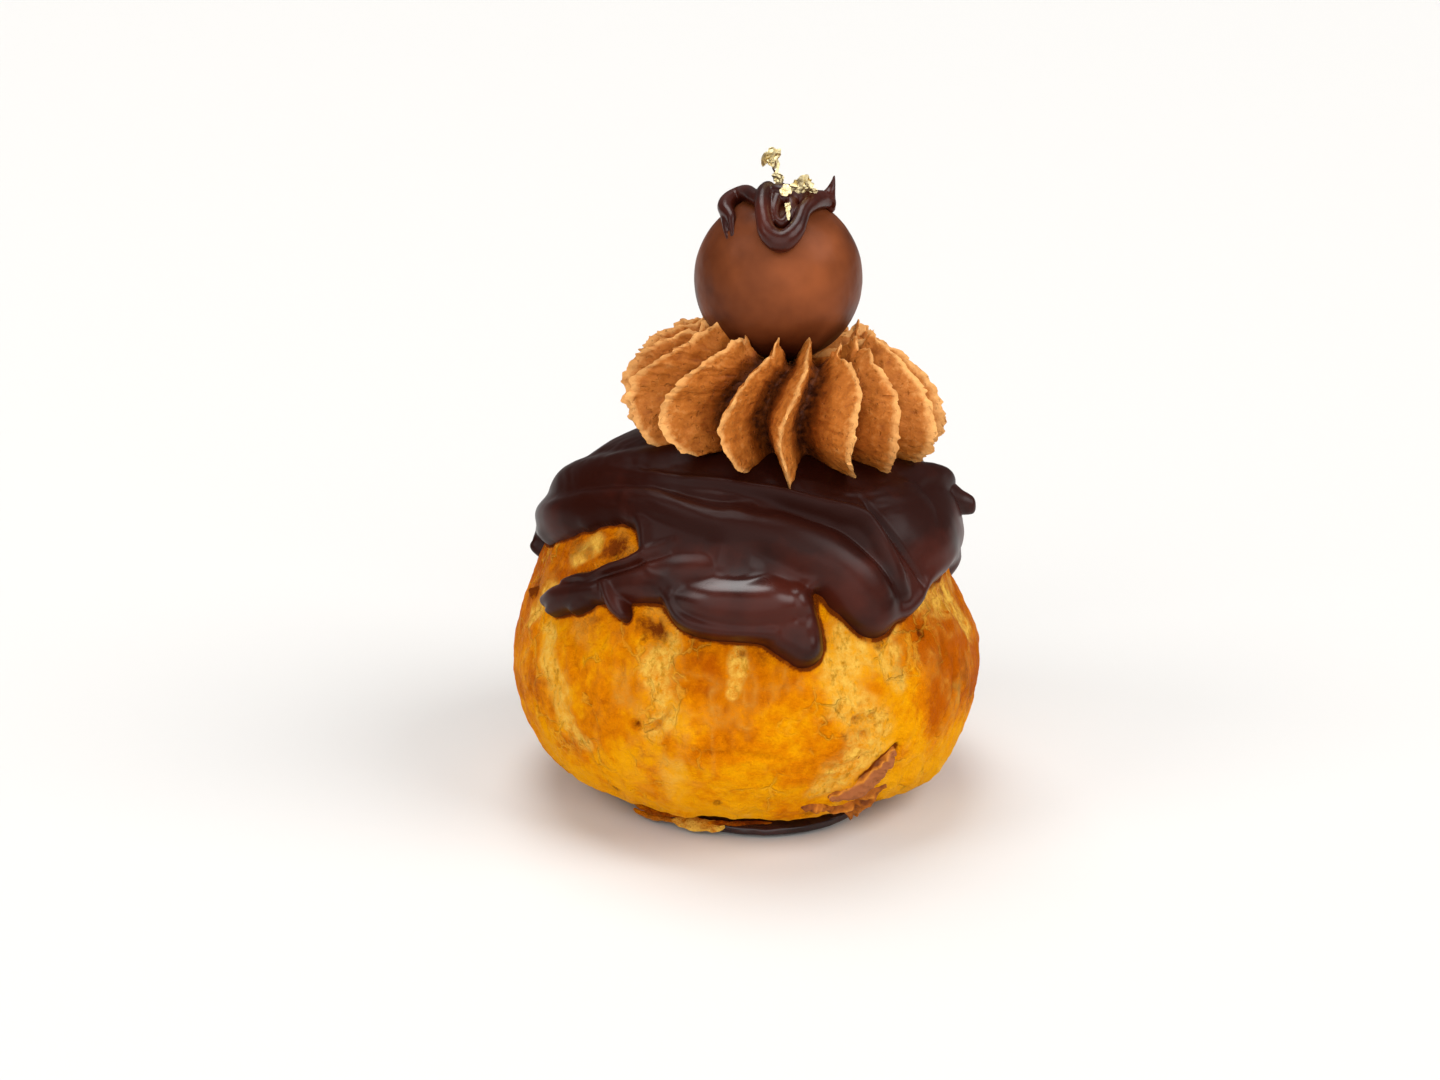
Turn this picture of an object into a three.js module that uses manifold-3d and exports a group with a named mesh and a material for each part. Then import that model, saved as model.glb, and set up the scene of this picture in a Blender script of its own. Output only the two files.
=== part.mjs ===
// A chocolate choux bun dressed as a small tower: a round baked bun, a poured chocolate glaze with
// drips, a piped star of chocolate cream, a chocolate ball, a piped ganache squiggle and gold leaf.
// Millimetres, +Z up, -Y is the front. The origin is the middle of the flat foot it stands on.
import * as THREE from "three";
import Module from "manifold-3d";

const wasm = await Module();
wasm.setup();

// ---------------------------------------------------------------- driving dimensions

const GAP = 0.3; // air kept between two pieces that touch
const DAB_HEIGHT = 2.0; // the ganache that sticks the bun down
const BUN_RADIUS = 35.9;
const BUN_BELLY = 19.4; // height of the widest place
const BUN_CROWN = 54.3;
const BALL_RADIUS = 12.4;
const BALL_CENTRE = new THREE.Vector3(4.3, 0, 78.4);
const STAR_RADIUS = 24.0;
const STAR_FOOT = new THREE.Vector3(4.1, 0, 51.4);
const STAR_TILT = 7; // degrees, the right side lower

const BUN_STEPS_ROUND = 48;
const BUN_STEPS_UP = 18;
const GLAZE_STEPS_ROUND = 72;
const GLAZE_STEPS_UP = 18;
const ROPE_SIDES = 6;
const BALL_STEPS_ROUND = 20;
const BALL_STEPS_UP = 12;

// ---------------------------------------------------------------- small helpers

const radians = THREE.MathUtils.degToRad;

/** The turn from b to a in degrees, from -180 to 180. */
const turnBetween = (a, b) => ((((a - b + 180) % 360) + 360) % 360) - 180;

/** The larger of two heights, rounded over where they are within `soft` of each other. */
function softMax(a, b, soft) {
  const share = THREE.MathUtils.clamp(0.5 + (0.5 * (a - b)) / soft, 0, 1);
  return b + (a - b) * share + soft * share * (1 - share);
}

/** A steady pseudo-random number from -1 to 1 for piece number i and use k. */
function wobble(i, k) {
  const s = Math.sin(12.9898 * (i + 1) + 78.233 * (k + 1)) * 43758.5453;
  return 2 * (s - Math.floor(s)) - 1;
}

/**
 * A closed surface over rings of points that are listed from the bottom up and run
 * anticlockwise seen from above. A ring of one point is a pole.
 */
function loft(rings) {
  const places = [];
  const starts = rings.map((ring) => {
    const start = places.length / 3;
    ring.forEach((p) => places.push(p.x, p.y, p.z));
    return start;
  });
  const faces = [];
  for (let k = 0; k + 1 < rings.length; k++) {
    const low = rings[k].length;
    const high = rings[k + 1].length;
    const n = Math.max(low, high);
    for (let i = 0; i < n; i++) {
      const j = (i + 1) % n;
      const a = starts[k] + (low > 1 ? i : 0);
      const b = starts[k] + (low > 1 ? j : 0);
      const c = starts[k + 1] + (high > 1 ? i : 0);
      const d = starts[k + 1] + (high > 1 ? j : 0);
      if (low > 1) faces.push(a, b, d);
      if (high > 1) faces.push(a, d, c);
    }
  }
  const geometry = new THREE.BufferGeometry();
  geometry.setAttribute("position", new THREE.Float32BufferAttribute(places, 3));
  geometry.setIndex(faces);
  return geometry;
}

/** A closed geometry as a solid that can be cut. */
function solid(geometry) {
  const mesh = new wasm.Mesh({
    numProp: 3,
    vertProperties: new Float32Array(geometry.getAttribute("position").array),
    triVerts: new Uint32Array(geometry.getIndex().array),
  });
  return new wasm.Manifold(mesh);
}

/** The largest body of a solid as a geometry, without the crumbs that a cut leaves. */
function geometryOf(cut) {
  const largest = cut.decompose().reduce((a, b) => (b.volume() > a.volume() ? b : a));
  const mesh = largest.getMesh();
  const geometry = new THREE.BufferGeometry();
  geometry.setAttribute("position", new THREE.Float32BufferAttribute(mesh.vertProperties, 3));
  geometry.setIndex(Array.from(mesh.triVerts));
  geometry.computeVertexNormals();
  return geometry;
}

// ---------------------------------------------------------------- the bun's skin

// From the middle of the foot over heel, belly and shoulder to the crown: radius, height.
const bunProfile = new THREE.SplineCurve(
  [
    [0, DAB_HEIGHT + GAP],
    [20.5, DAB_HEIGHT + GAP],
    [25.6, DAB_HEIGHT + 0.9],
    [29.6, 5.2],
    [32.8, 9.2],
    [35.1, 14.2],
    [BUN_RADIUS, BUN_BELLY],
    [35.3, 25.0],
    [33.6, 30.5],
    [31.6, 36.0],
    [29.3, 41.0],
    [26.2, 45.8],
    [21.0, 49.8],
    [13.5, 52.6],
    [6.0, 54.0],
    [0, BUN_CROWN],
  ].map(([r, z]) => new THREE.Vector2(r, z)),
);

const HEEL_SHARE = 0.1; // shares of the profile's length
const BELLY_SHARE = 0.4;

// Where the bun rose unevenly in the oven. Azimuth 0 is the front and 90 the right.
const bulges = [
  { azimuth: 88, height: 33, wide: 30, tall: 6, swell: -1.9 },
  { azimuth: 90, height: 46, wide: 40, tall: 7, swell: 0.8 },
  { azimuth: 62, height: 5, wide: 26, tall: 5, swell: 1.9 },
  { azimuth: -75, height: 5, wide: 30, tall: 5, swell: 0.7 },
  { azimuth: 150, height: 30, wide: 40, tall: 10, swell: -1.2 },
  { azimuth: -150, height: 14, wide: 45, tall: 9, swell: 1.0 },
  { azimuth: -115, height: 38, wide: 30, tall: 8, swell: -0.7 },
];

const CALM_RADIUS = 10; // no bulge reaches the poles
const UNEVEN_RADIUS = 22;

function swellAt(azimuth, height) {
  return bulges.reduce((sum, b) => {
    const across = turnBetween(azimuth, b.azimuth) / b.wide;
    const up = (height - b.height) / b.tall;
    return sum + b.swell * Math.exp(-across * across - up * up);
  }, 0);
}

/** The point of the bun's skin at an azimuth and a share of the profile, raised by `lift`. */
function skin(azimuth, share, lift = 0) {
  const place = bunProfile.getPoint(share);
  const tangent = bunProfile.getTangent(share);
  const keep = THREE.MathUtils.smoothstep(place.x, CALM_RADIUS, UNEVEN_RADIUS);
  const radius = place.x + keep * swellAt(azimuth, place.y) + tangent.y * lift;
  const turn = radians(azimuth);
  return new THREE.Vector3(
    radius * Math.sin(turn),
    -radius * Math.cos(turn),
    place.y - tangent.x * lift,
  );
}

/** The share of the profile, between two others, where the skin has a height. */
function shareAt(height, from = BELLY_SHARE, to = 1) {
  let low = from;
  let high = to;
  for (let i = 0; i < 30; i++) {
    const middle = (low + high) / 2;
    if (bunProfile.getPoint(middle).y < height) low = middle;
    else high = middle;
  }
  return low;
}

/** The same for the skin between the foot and the belly. */
const lowShareAt = (height) => shareAt(height, HEEL_SHARE, BELLY_SHARE);

/** Rings of skin from one share of the profile to another, each raised by lift(azimuth, share). */
function skinRings(round, up, from, to, lift) {
  const rings = [];
  for (let k = 0; k <= up; k++) {
    const share = from + ((to - from) * k) / up;
    const ring = [];
    for (let i = 0; i < round; i++) {
      const azimuth = (360 * i) / round;
      ring.push(skin(azimuth, share, lift(azimuth, share)));
    }
    rings.push(share <= 0 || share >= 1 ? [ring[0]] : ring);
  }
  return rings;
}

const bunSolid = (grow) =>
  solid(loft(skinRings(BUN_STEPS_ROUND, BUN_STEPS_UP, 0, 1, () => grow)));

// ---------------------------------------------------------------- poured chocolate

const BARE = -1; // where there is no glaze its surface dips this far under the skin
const FAR = 1.6; // half widths from a stroke's middle past which nothing is left of it

/** A stroke of poured or piped cream on the skin: points of azimuth, height and half width. */
class Stroke {
  constructor(thickness, flatness, points) {
    this.thickness = thickness;
    this.flatness = flatness; // 2 is a round rope, 4 a flat pool with steep edges
    this.points = points.map(([azimuth, height, half]) => {
      const share = height > BUN_BELLY ? shareAt(height) : lowShareAt(height);
      return { place: skin(azimuth, share), half };
    });
  }

  /** How far this stroke stands over the skin at a point of it, negative outside its edge. */
  heightAt(place) {
    let best = Infinity;
    const line = new THREE.Line3();
    const near = new THREE.Vector3();
    for (let i = 0; i + 1 < this.points.length; i++) {
      const [a, b] = [this.points[i], this.points[i + 1]];
      line.set(a.place, b.place);
      const t = line.closestPointToPointParameter(place, true);
      const half = THREE.MathUtils.lerp(a.half, b.half, t);
      best = Math.min(best, line.at(t, near).distanceTo(place) / half);
    }
    return this.thickness * (1 - Math.min(best, FAR) ** this.flatness);
  }
}

const COAT = 2.2; // thickness of the glaze away from folds and edges
const COAT_ROUND = 1.5; // how far in from its edge it reaches that thickness
const FOLD_BLEND = 0.7;

// The lower edge of the poured cap: azimuth, height.
const glazeEdge = [
  [-180, 36],
  [-150, 32],
  [-127, 38],
  [-108, 33],
  [-95, 36],
  [-80, 38.6],
  [-66, 42.9],
  [-55, 45.3],
  [-46, 46.2],
  [-39, 45.4],
  [-33, 41],
  [-27, 39],
  [-8, 38],
  [5, 38],
  [14, 39],
  [20, 39.6],
  [26, 36.2],
  [34, 34.2],
  [44, 33.8],
  [52, 35.4],
  [60, 36.5],
  [72, 36.4],
  [86, 35.5],
  [100, 31],
  [115, 37],
  [135, 29],
  [152, 36],
  [166, 33],
  [180, 36],
];

const glazeStrokes = [
  // the long roll across the front that ends in the right drip
  new Stroke(4.0, 2, [
    [-80, 45.0, 2.2],
    [-62, 47.9, 2.8],
    [-40, 48.4, 3.2],
    [-15, 48.0, 3.4],
    [10, 46.8, 3.8],
    [24, 44.6, 4.2],
    [31, 40.6, 4.8],
    [33.5, 36.0, 4.4],
  ]),
  // the sheet under it that gathers into a pool and a hanging lobe
  new Stroke(4.2, 3, [
    [-19, 41.2, 3.2],
    [-11, 39.2, 4.9],
    [-1, 38.6, 5.1],
    [8.5, 38.4, 4.3],
  ]),
  new Stroke(3.4, 2.4, [
    [5, 35.8, 2.8],
    [11.3, 32.2, 2.8],
  ]),
  // the tongue that runs off to the left and its small drip
  new Stroke(2.6, 2.2, [
    [-22, 41.0, 4.0],
    [-36, 38.9, 2.9],
    [-48, 37.2, 2.6],
    [-56, 35.2, 2.3],
    [-61, 32.4, 0.9],
  ]),
  new Stroke(2.2, 2.2, [
    [-36, 38.0, 2.2],
    [-33.5, 35.6, 1.5],
  ]),
  // the smooth sheet on the right
  new Stroke(3.2, 2.4, [
    [48, 46.0, 5.0],
    [50, 40.5, 5.6],
    [74, 41.0, 5.0],
  ]),
  // the thick edge of the flap on the left
  new Stroke(4.4, 2, [
    [-122, 42.0, 3.0],
    [-102, 41.5, 4.2],
    [-84, 42.8, 4.2],
    [-64, 47.2, 3.0],
  ]),
  // rolls and drips on the side and the back
  new Stroke(3.4, 2, [
    [78, 40.0, 4.0],
    [98, 37.0, 4.2],
    [101, 32.8, 3.4],
  ]),
  new Stroke(3.6, 2.4, [
    [118, 44.0, 3.0],
    [132, 37.0, 4.0],
    [136, 29.5, 3.2],
  ]),
  new Stroke(3.6, 2, [
    [160, 47.0, 2.8],
    [-170, 44.0, 3.4],
    [-154, 38.5, 4.0],
    [-149, 32.5, 3.2],
  ]),
  new Stroke(3.2, 2.2, [
    [-125, 44.0, 3.0],
    [-110, 38.5, 3.0],
    [-107, 33.6, 2.4],
  ]),
];

/** The height of the cap's lower edge at an azimuth, eased between its points. */
function glazeEdgeAt(azimuth) {
  const turn = turnBetween(azimuth, 0);
  const k = Math.max(1, glazeEdge.findIndex(([a]) => a >= turn));
  const [a0, z0] = glazeEdge[k - 1];
  const [a1, z1] = glazeEdge[k];
  const t = (turn - a0) / (a1 - a0);
  return z0 + (z1 - z0) * t * t * (3 - 2 * t);
}

/** How far the glaze stands over the skin: the cap with its folds, negative where it is bare. */
function glazeLift(azimuth, share) {
  const place = skin(azimuth, share);
  const inside = place.z - glazeEdgeAt(azimuth);
  const cap = COAT * (1 - Math.exp(-inside / COAT_ROUND));
  let lift = Math.max(cap, BARE - FOLD_BLEND);
  for (const stroke of glazeStrokes) {
    lift = softMax(lift, stroke.heightAt(place), FOLD_BLEND);
  }
  return Math.max(lift, BARE);
}

const GLAZE_LOWEST = 26; // no drip reaches below this height

const HORN_TIP = 0.5; // how far the rounded end bulges past its last ring

/** The rounded end that a fold of glaze pokes out on the right. */
function hornSolid(grow) {
  const path = [
    [26.0, 45.4, 1.7],
    [30.0, 44.6, 1.7],
    [32.6, 43.8, 1.6],
    [34.0, 43.0, 1.2],
  ];
  const rings = path.map(([x, z, half]) => {
    const ring = [];
    for (let j = 0; j < ROPE_SIDES; j++) {
      const turn = (2 * Math.PI * j) / ROPE_SIDES;
      const reach = half + grow;
      ring.push(new THREE.Vector3(x, reach * Math.cos(turn), z + reach * Math.sin(turn)));
    }
    return ring;
  });
  const [innerX, innerZ] = path[0];
  const [outerX, outerZ] = path[path.length - 1];
  const start = new THREE.Vector3(innerX, 0, innerZ);
  const end = new THREE.Vector3(outerX + HORN_TIP + grow, 0, outerZ);
  return solid(loft([[start], ...rings, [end]]));
}

/** The glaze as poured, still filled inside. `grow` adds to its outer skin. */
function glazeBlob(grow) {
  const rings = skinRings(
    GLAZE_STEPS_ROUND,
    GLAZE_STEPS_UP,
    shareAt(GLAZE_LOWEST),
    1,
    (azimuth, share) => glazeLift(azimuth, share) + grow,
  );
  const poured = solid(loft([[new THREE.Vector3(0, 0, GLAZE_LOWEST)], ...rings]));
  return poured.add(hornSolid(grow));
}

// ---------------------------------------------------------------- the star of piped cream

// A fin's crest and the groove beside it, from the middle of the underside, round the tip and
// the side and over the rim to the middle of the dish under the ball: radius, height.
const starCrest = new THREE.SplineCurve(
  [
    [0, 3.0],
    [12.0, 2.5],
    [17.5, 1.2],
    [20.6, 1.4],
    [22.9, 4.0],
    [STAR_RADIUS, 7.6],
    [23.3, 11.0],
    [21.0, 14.2],
    [17.6, 16.9],
    [14.2, 18.8],
    [11.4, 19.6],
    [10.0, 18.6],
    [0, 15],
  ].map(([r, z]) => new THREE.Vector2(r, z)),
);
const starGroove = new THREE.SplineCurve(
  [
    [0, 3.0],
    [10.0, 2.5],
    [14.0, 2.2],
    [16.3, 3.4],
    [17.6, 5.8],
    [18.3, 8.6],
    [17.6, 11.6],
    [15.8, 14.2],
    [13.6, 15.9],
    [11.8, 16.8],
    [10.6, 16.8],
    [9.6, 16.5],
    [0, 15],
  ].map(([r, z]) => new THREE.Vector2(r, z)),
);
const starFins = [
  -85, -65, -45, -23, -1, 21, 41, 57, 73, 92, 112, 133, 153, 173, 193, 214, 234, 255,
]; // azimuth of each crest at its widest place
const STAR_STEPS_UP = 13;
const FIN_STEPS = 4; // points round one fin, from groove to groove
const FIN_SHARP = 1.15; // over 1 gives a thin crest
const TOP_LEAN = 13; // degrees that a crest turns on its way from the widest place to the rim
const TIP_LEAN = 4; // and on its way down to the hanging tip

/** One point of the star: fin number, place across it from -1 to 1, and share from under to dish. */
function starPoint(fin, across, share) {
  const crest = starCrest.getPoint(share);
  const groove = starGroove.getPoint(share);
  const out = (1 - Math.abs(across)) ** FIN_SHARP;
  const reach = 1 + 0.025 * wobble(fin, 1) * out;
  const radius = THREE.MathUtils.lerp(groove.x, crest.x * reach, out);
  const height = THREE.MathUtils.lerp(groove.y, crest.y, out);
  const here = starFins[fin];
  const next = starFins[(fin + Math.sign(across) + starFins.length) % starFins.length];
  const azimuth =
    here +
    (turnBetween(next, here) * Math.abs(across)) / 2 +
    TOP_LEAN * THREE.MathUtils.smoothstep(share, 0.42, 0.85) +
    TIP_LEAN * (1 - THREE.MathUtils.smoothstep(share, 0.2, 0.42));
  const turn = radians(azimuth);
  return new THREE.Vector3(radius * Math.sin(turn), -radius * Math.cos(turn), height);
}

function starBlob() {
  const rings = [];
  for (let k = 0; k <= STAR_STEPS_UP; k++) {
    const share = k / STAR_STEPS_UP;
    const ring = [];
    for (let fin = 0; fin < starFins.length; fin++) {
      for (let i = 0; i < FIN_STEPS; i++) {
        ring.push(starPoint(fin, -1 + (2 * i) / FIN_STEPS, share));
      }
    }
    rings.push(k === 0 || k === STAR_STEPS_UP ? [ring[0]] : ring);
  }
  const geometry = loft(rings);
  geometry.rotateY(radians(STAR_TILT));
  geometry.translate(STAR_FOOT.x, STAR_FOOT.y, STAR_FOOT.z);
  return solid(geometry);
}

/** A plain dome just over the cap, so that the star's underside is smooth over the glaze. */
function starRoom() {
  const CLEAR = COAT + GAP + 0.35;
  const LOWEST = 44;
  const ROUND = 24;
  const UP = 6;
  const rings = skinRings(ROUND, UP, shareAt(LOWEST), 1, () => CLEAR);
  return solid(loft([[new THREE.Vector3(0, 0, LOWEST - CLEAR)], ...rings]));
}

// ---------------------------------------------------------------- ball, squiggle, gold

function ballSolid(grow) {
  const rings = [];
  for (let k = 0; k <= BALL_STEPS_UP; k++) {
    const rise = -Math.PI / 2 + (Math.PI * k) / BALL_STEPS_UP;
    const ring = [];
    for (let i = 0; i < BALL_STEPS_ROUND; i++) {
      ring.push(onBall((360 * i) / BALL_STEPS_ROUND, rise, grow));
    }
    rings.push(k === 0 || k === BALL_STEPS_UP ? [ring[0]] : ring);
  }
  return solid(loft(rings));
}

/** The point over the ball at an azimuth in degrees and a rise from its equator in radians. */
function onBall(azimuth, rise, lift) {
  const turn = radians(azimuth);
  const radius = BALL_RADIUS + lift;
  return new THREE.Vector3(
    radius * Math.cos(rise) * Math.sin(turn),
    -radius * Math.cos(rise) * Math.cos(turn),
    radius * Math.sin(rise),
  ).add(BALL_CENTRE);
}

/** A tube through points of azimuth, rise and lift over the ball, each with its own radius. */
function rope(points, steps, grow) {
  const centre = new THREE.CatmullRomCurve3(
    points.map(([azimuth, rise, lift]) => onBall(azimuth, radians(rise), lift)),
    false,
    "catmullrom",
  );
  const rings = [[centre.getPoint(0)]];
  const outward = new THREE.Vector3();
  for (let k = 0; k <= steps; k++) {
    const t = k / steps;
    const place = centre.getPoint(t);
    const along = centre.getTangent(t);
    outward.copy(place).sub(BALL_CENTRE).normalize();
    outward.addScaledVector(along, -along.dot(outward)).normalize();
    const side = new THREE.Vector3().crossVectors(along, outward);
    const reach = t * (points.length - 1);
    const i = Math.min(Math.floor(reach), points.length - 2);
    const radius = grow + THREE.MathUtils.lerp(points[i][3], points[i + 1][3], reach - i);
    const ring = [];
    for (let j = 0; j < ROPE_SIDES; j++) {
      const turn = (2 * Math.PI * j) / ROPE_SIDES;
      ring.push(
        place
          .clone()
          .addScaledVector(outward, radius * Math.cos(turn))
          .addScaledVector(side, radius * Math.sin(turn)),
      );
    }
    rings.push(ring);
  }
  rings.push([centre.getPoint(1)]);
  return solid(loft(rings));
}

// Azimuth, rise, lift and radius of the ganache rope: first the tail and the loop on the left.
const leftLoop = [
  [-35, 30, 0.1, 0.35],
  [-40, 37, 0.5, 0.6],
  [-50, 44, 0.9, 0.9],
  [-68, 51, 1.2, 1.15],
  [-90, 58, 1.3, 1.2],
  [-84, 65, 1.3, 1.2],
  [-56, 69, 1.2, 1.15],
  [-22, 74, 1.2, 1.1],
];
// Then the hanging loop in front, the mass on the right and its pulled tip.
const frontLoop = [
  [-20, 82, 1.2, 1.1],
  [-18, 70, 1.3, 1.2],
  [-17, 57, 1.3, 1.35],
  [-15, 45, 1.3, 1.45],
  [-12, 35, 1.3, 1.6],
  [-2, 29, 1.3, 1.7],
  [7, 34, 1.3, 1.6],
  [14, 45, 1.3, 1.5],
  [20, 56, 1.4, 1.5],
  [40, 62, 1.5, 1.6],
  [66, 62, 1.5, 1.6],
  [92, 58, 1.5, 1.3],
  [102, 59, 3.0, 0.7],
  [106, 61, 5.0, 0.2],
];

const LEFT_STEPS = 16;
const FRONT_STEPS = 30;

function squiggleSolid(grow) {
  return rope(leftLoop, LEFT_STEPS, grow).add(rope(frontLoop, FRONT_STEPS, grow));
}

// The leaf: three crumpled scraps on one thread, as x, y, z of the middle and half width.
const leafPath = [
  [5.5, -9.6, 90.6, 0.4],
  [5.3, -8.2, 91.6, 0.8],
  [7.4, -4.6, 92.9, 1.6],
  [5.1, -2.4, 93.6, 0.7],
  [4.2, -0.6, 94.3, 0.4],
  [3.0, 0.4, 96.0, 1.3],
  [3.6, 0.9, 97.1, 0.9],
];
const LEAF_THICKNESS = 0.34;

/** The gold leaf as one thin strip that turns and creases as it rises. */
function leafSolid() {
  const half = LEAF_THICKNESS / 2;
  const rings = leafPath.map(([x, y, z, wide], i) => {
    const turn = radians(35 * wobble(i, 5));
    const across = new THREE.Vector3(Math.cos(turn), Math.sin(turn), 0.35 * wobble(i, 6));
    const through = new THREE.Vector3(-Math.sin(turn), Math.cos(turn), 0);
    return [
      [-wide, -half],
      [wide, -half],
      [wide, half],
      [-wide, half],
    ].map(([u, v]) =>
      new THREE.Vector3(x, y, z).addScaledVector(across, u).addScaledVector(through, v),
    );
  });
  const middle = (ring) =>
    ring.reduce((sum, p) => sum.add(p), new THREE.Vector3()).divideScalar(ring.length);
  return solid(loft([[middle(rings[0])], ...rings, [middle(rings[rings.length - 1])]]));
}

// ---------------------------------------------------------------- filling and foot

// Filling squeezed out of the hole it was piped through, low on the right.
const smearStroke = new Stroke(2.0, 2, [
  [36, 14.2, 0.8],
  [31, 11.0, 2.2],
  [25, 8.0, 3.2],
  [17, 6.9, 1.6],
]);
const smearTip = new Stroke(1.8, 2, [
  [29, 9.0, 2.6],
  [30.5, 5.2, 1.2],
]);

/** A closed patch over the skin between two azimuths and two shares, raised by lift. */
function patch(fromTurn, toTurn, across, fromShare, toShare, up, lift) {
  const SUNK = -2;
  const rings = [];
  for (let k = 0; k <= up; k++) {
    const share = fromShare + ((toShare - fromShare) * k) / up;
    const ring = [];
    for (let i = 0; i <= across; i++) {
      const azimuth = fromTurn + ((toTurn - fromTurn) * i) / across;
      ring.push(skin(azimuth, share, lift(skin(azimuth, share))));
    }
    for (let i = across; i >= 0; i--) {
      ring.push(skin(fromTurn + ((toTurn - fromTurn) * i) / across, share, SUNK));
    }
    rings.push(ring);
  }
  const middle = (ring) =>
    ring.reduce((sum, p) => sum.clone().add(p), new THREE.Vector3()).divideScalar(ring.length);
  return solid(loft([[middle(rings[0])], ...rings, [middle(rings[up])]]));
}

const SMEAR_STEPS = 15;

function smearBlob() {
  const lift = (place) =>
    Math.max(softMax(smearStroke.heightAt(place), smearTip.heightAt(place), 0.5), BARE);
  return patch(8, 44, SMEAR_STEPS, lowShareAt(3.2), lowShareAt(17), SMEAR_STEPS, lift);
}

const DAB_RADIUS = 22.5;
const DAB_STEPS = 32;

/** The flat dab of ganache under the bun, with an uneven round edge that shows at the front. */
function dabGeometry() {
  const edge = [
    [0.94, 0],
    [1.0, 0.35],
    [1.0, 0.65],
    [0.95, 1],
  ]; // share of the radius, share of the height
  const rings = edge.map(([wide, up]) => {
    const ring = [];
    for (let i = 0; i < DAB_STEPS; i++) {
      const turn = (2 * Math.PI * i) / DAB_STEPS;
      const uneven = 1 + 0.05 * Math.cos(turn - 0.2) + 0.03 * Math.cos(3 * turn + 1) +
        0.02 * Math.cos(5 * turn);
      const radius = DAB_RADIUS * uneven * wide;
      ring.push(
        new THREE.Vector3(radius * Math.sin(turn), -radius * Math.cos(turn), up * DAB_HEIGHT),
      );
    }
    return ring;
  });
  const bottom = [new THREE.Vector3(0, 0, 0)];
  const top = [new THREE.Vector3(0, 0, DAB_HEIGHT)];
  return loft([bottom, ...rings, top]);
}

// ---------------------------------------------------------------- the object

const finishes = {
  crust: new THREE.MeshStandardMaterial({ color: 0xe08e1c, roughness: 0.55 }),
  glaze: new THREE.MeshStandardMaterial({ color: 0x3a1c14, roughness: 0.2 }),
  cream: new THREE.MeshStandardMaterial({ color: 0xb06c30, roughness: 0.7 }),
  ball: new THREE.MeshStandardMaterial({ color: 0x7d4120, roughness: 0.4 }),
  ganache: new THREE.MeshStandardMaterial({ color: 0x40180f, roughness: 0.3 }),
  filling: new THREE.MeshStandardMaterial({ color: 0xb06a38, roughness: 0.6 }),
  gold: new THREE.MeshStandardMaterial({ color: 0xe8c45a, roughness: 0.3, metalness: 1 }),
};

const pastry = new THREE.Group();

function add(name, geometry, material) {
  const mesh = new THREE.Mesh(geometry, material);
  mesh.name = name;
  pastry.add(mesh);
}

const bun = bunSolid(0);
const bunRoom = bunSolid(GAP);
const glaze = glazeBlob(0).subtract(bunRoom);
const star = starBlob()
  .subtract(starRoom())
  .subtract(glazeBlob(GAP))
  .subtract(ballSolid(GAP));
const squiggle = squiggleSolid(0).subtract(ballSolid(GAP));
const leaf = leafSolid().subtract(squiggleSolid(GAP)).subtract(ballSolid(GAP));

add("base_ganache", dabGeometry(), finishes.ganache);
add("choux_bun", geometryOf(bun), finishes.crust);
add("chocolate_glaze", geometryOf(glaze), finishes.glaze);
add("cream_star", geometryOf(star), finishes.cream);
add("chocolate_ball", geometryOf(ballSolid(0)), finishes.ball);
add("ganache_squiggle", geometryOf(squiggle), finishes.ganache);
add("gold_leaf", geometryOf(leaf), finishes.gold);
add("filling_smear", geometryOf(smearBlob().subtract(bunRoom)), finishes.filling);

export default pastry;
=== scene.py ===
"""The looks of a chocolate choux bun that is dressed as a small tower.

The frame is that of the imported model: metres, +Z up, -Y the front, and the origin in the middle
of the flat foot. Sizes inside the classes are millimetres, because that is how a baker measures;
a mesh is brought to metres when it is made. Azimuth 0 is the front and 90 degrees the right.
"""

import logging
import math
from dataclasses import dataclass, field
from enum import Enum
from functools import partial
from typing import Any, Callable, Optional, Sequence

import bpy
import numpy as np
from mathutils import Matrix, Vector

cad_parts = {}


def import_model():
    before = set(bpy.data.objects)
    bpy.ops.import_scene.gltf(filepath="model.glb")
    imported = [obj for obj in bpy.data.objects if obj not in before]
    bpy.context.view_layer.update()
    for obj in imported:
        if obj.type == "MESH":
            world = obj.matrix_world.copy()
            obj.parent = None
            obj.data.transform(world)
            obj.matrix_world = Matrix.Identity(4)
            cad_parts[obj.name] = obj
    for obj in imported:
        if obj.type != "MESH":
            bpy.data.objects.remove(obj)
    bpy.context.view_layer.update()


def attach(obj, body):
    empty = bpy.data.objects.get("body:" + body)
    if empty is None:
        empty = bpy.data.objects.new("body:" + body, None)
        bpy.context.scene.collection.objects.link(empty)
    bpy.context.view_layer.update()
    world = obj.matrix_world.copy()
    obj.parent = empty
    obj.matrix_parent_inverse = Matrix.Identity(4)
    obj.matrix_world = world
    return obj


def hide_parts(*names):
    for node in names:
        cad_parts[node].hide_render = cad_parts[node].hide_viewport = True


log = logging.getLogger("choux_bun")

MM = 0.001
Array = np.ndarray
Row = tuple[float, ...]


# ------------------------------------------------------------------ numbers and noise


def smooth_step(value: Array, low: float, high: float) -> Array:
    """Rise smoothly from 0 at low to 1 at high."""
    t = np.clip((value - low) / (high - low), 0.0, 1.0)
    return t * t * (3.0 - 2.0 * t)


def soft_max(a: Array, b: Array, soft: float) -> Array:
    """The larger of two heights, rounded over where they are within soft of each other."""
    share = np.clip(0.5 + 0.5 * (a - b) / soft, 0.0, 1.0)
    return b + (a - b) * share + soft * share * (1.0 - share)


def bell(value: Array, middle: float | Array, reach: float) -> Array:
    """Rise to 1 at the middle, and fall off smoothly over the reach on both sides."""
    return np.exp(-(((value - middle) / reach) ** 2))


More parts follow.
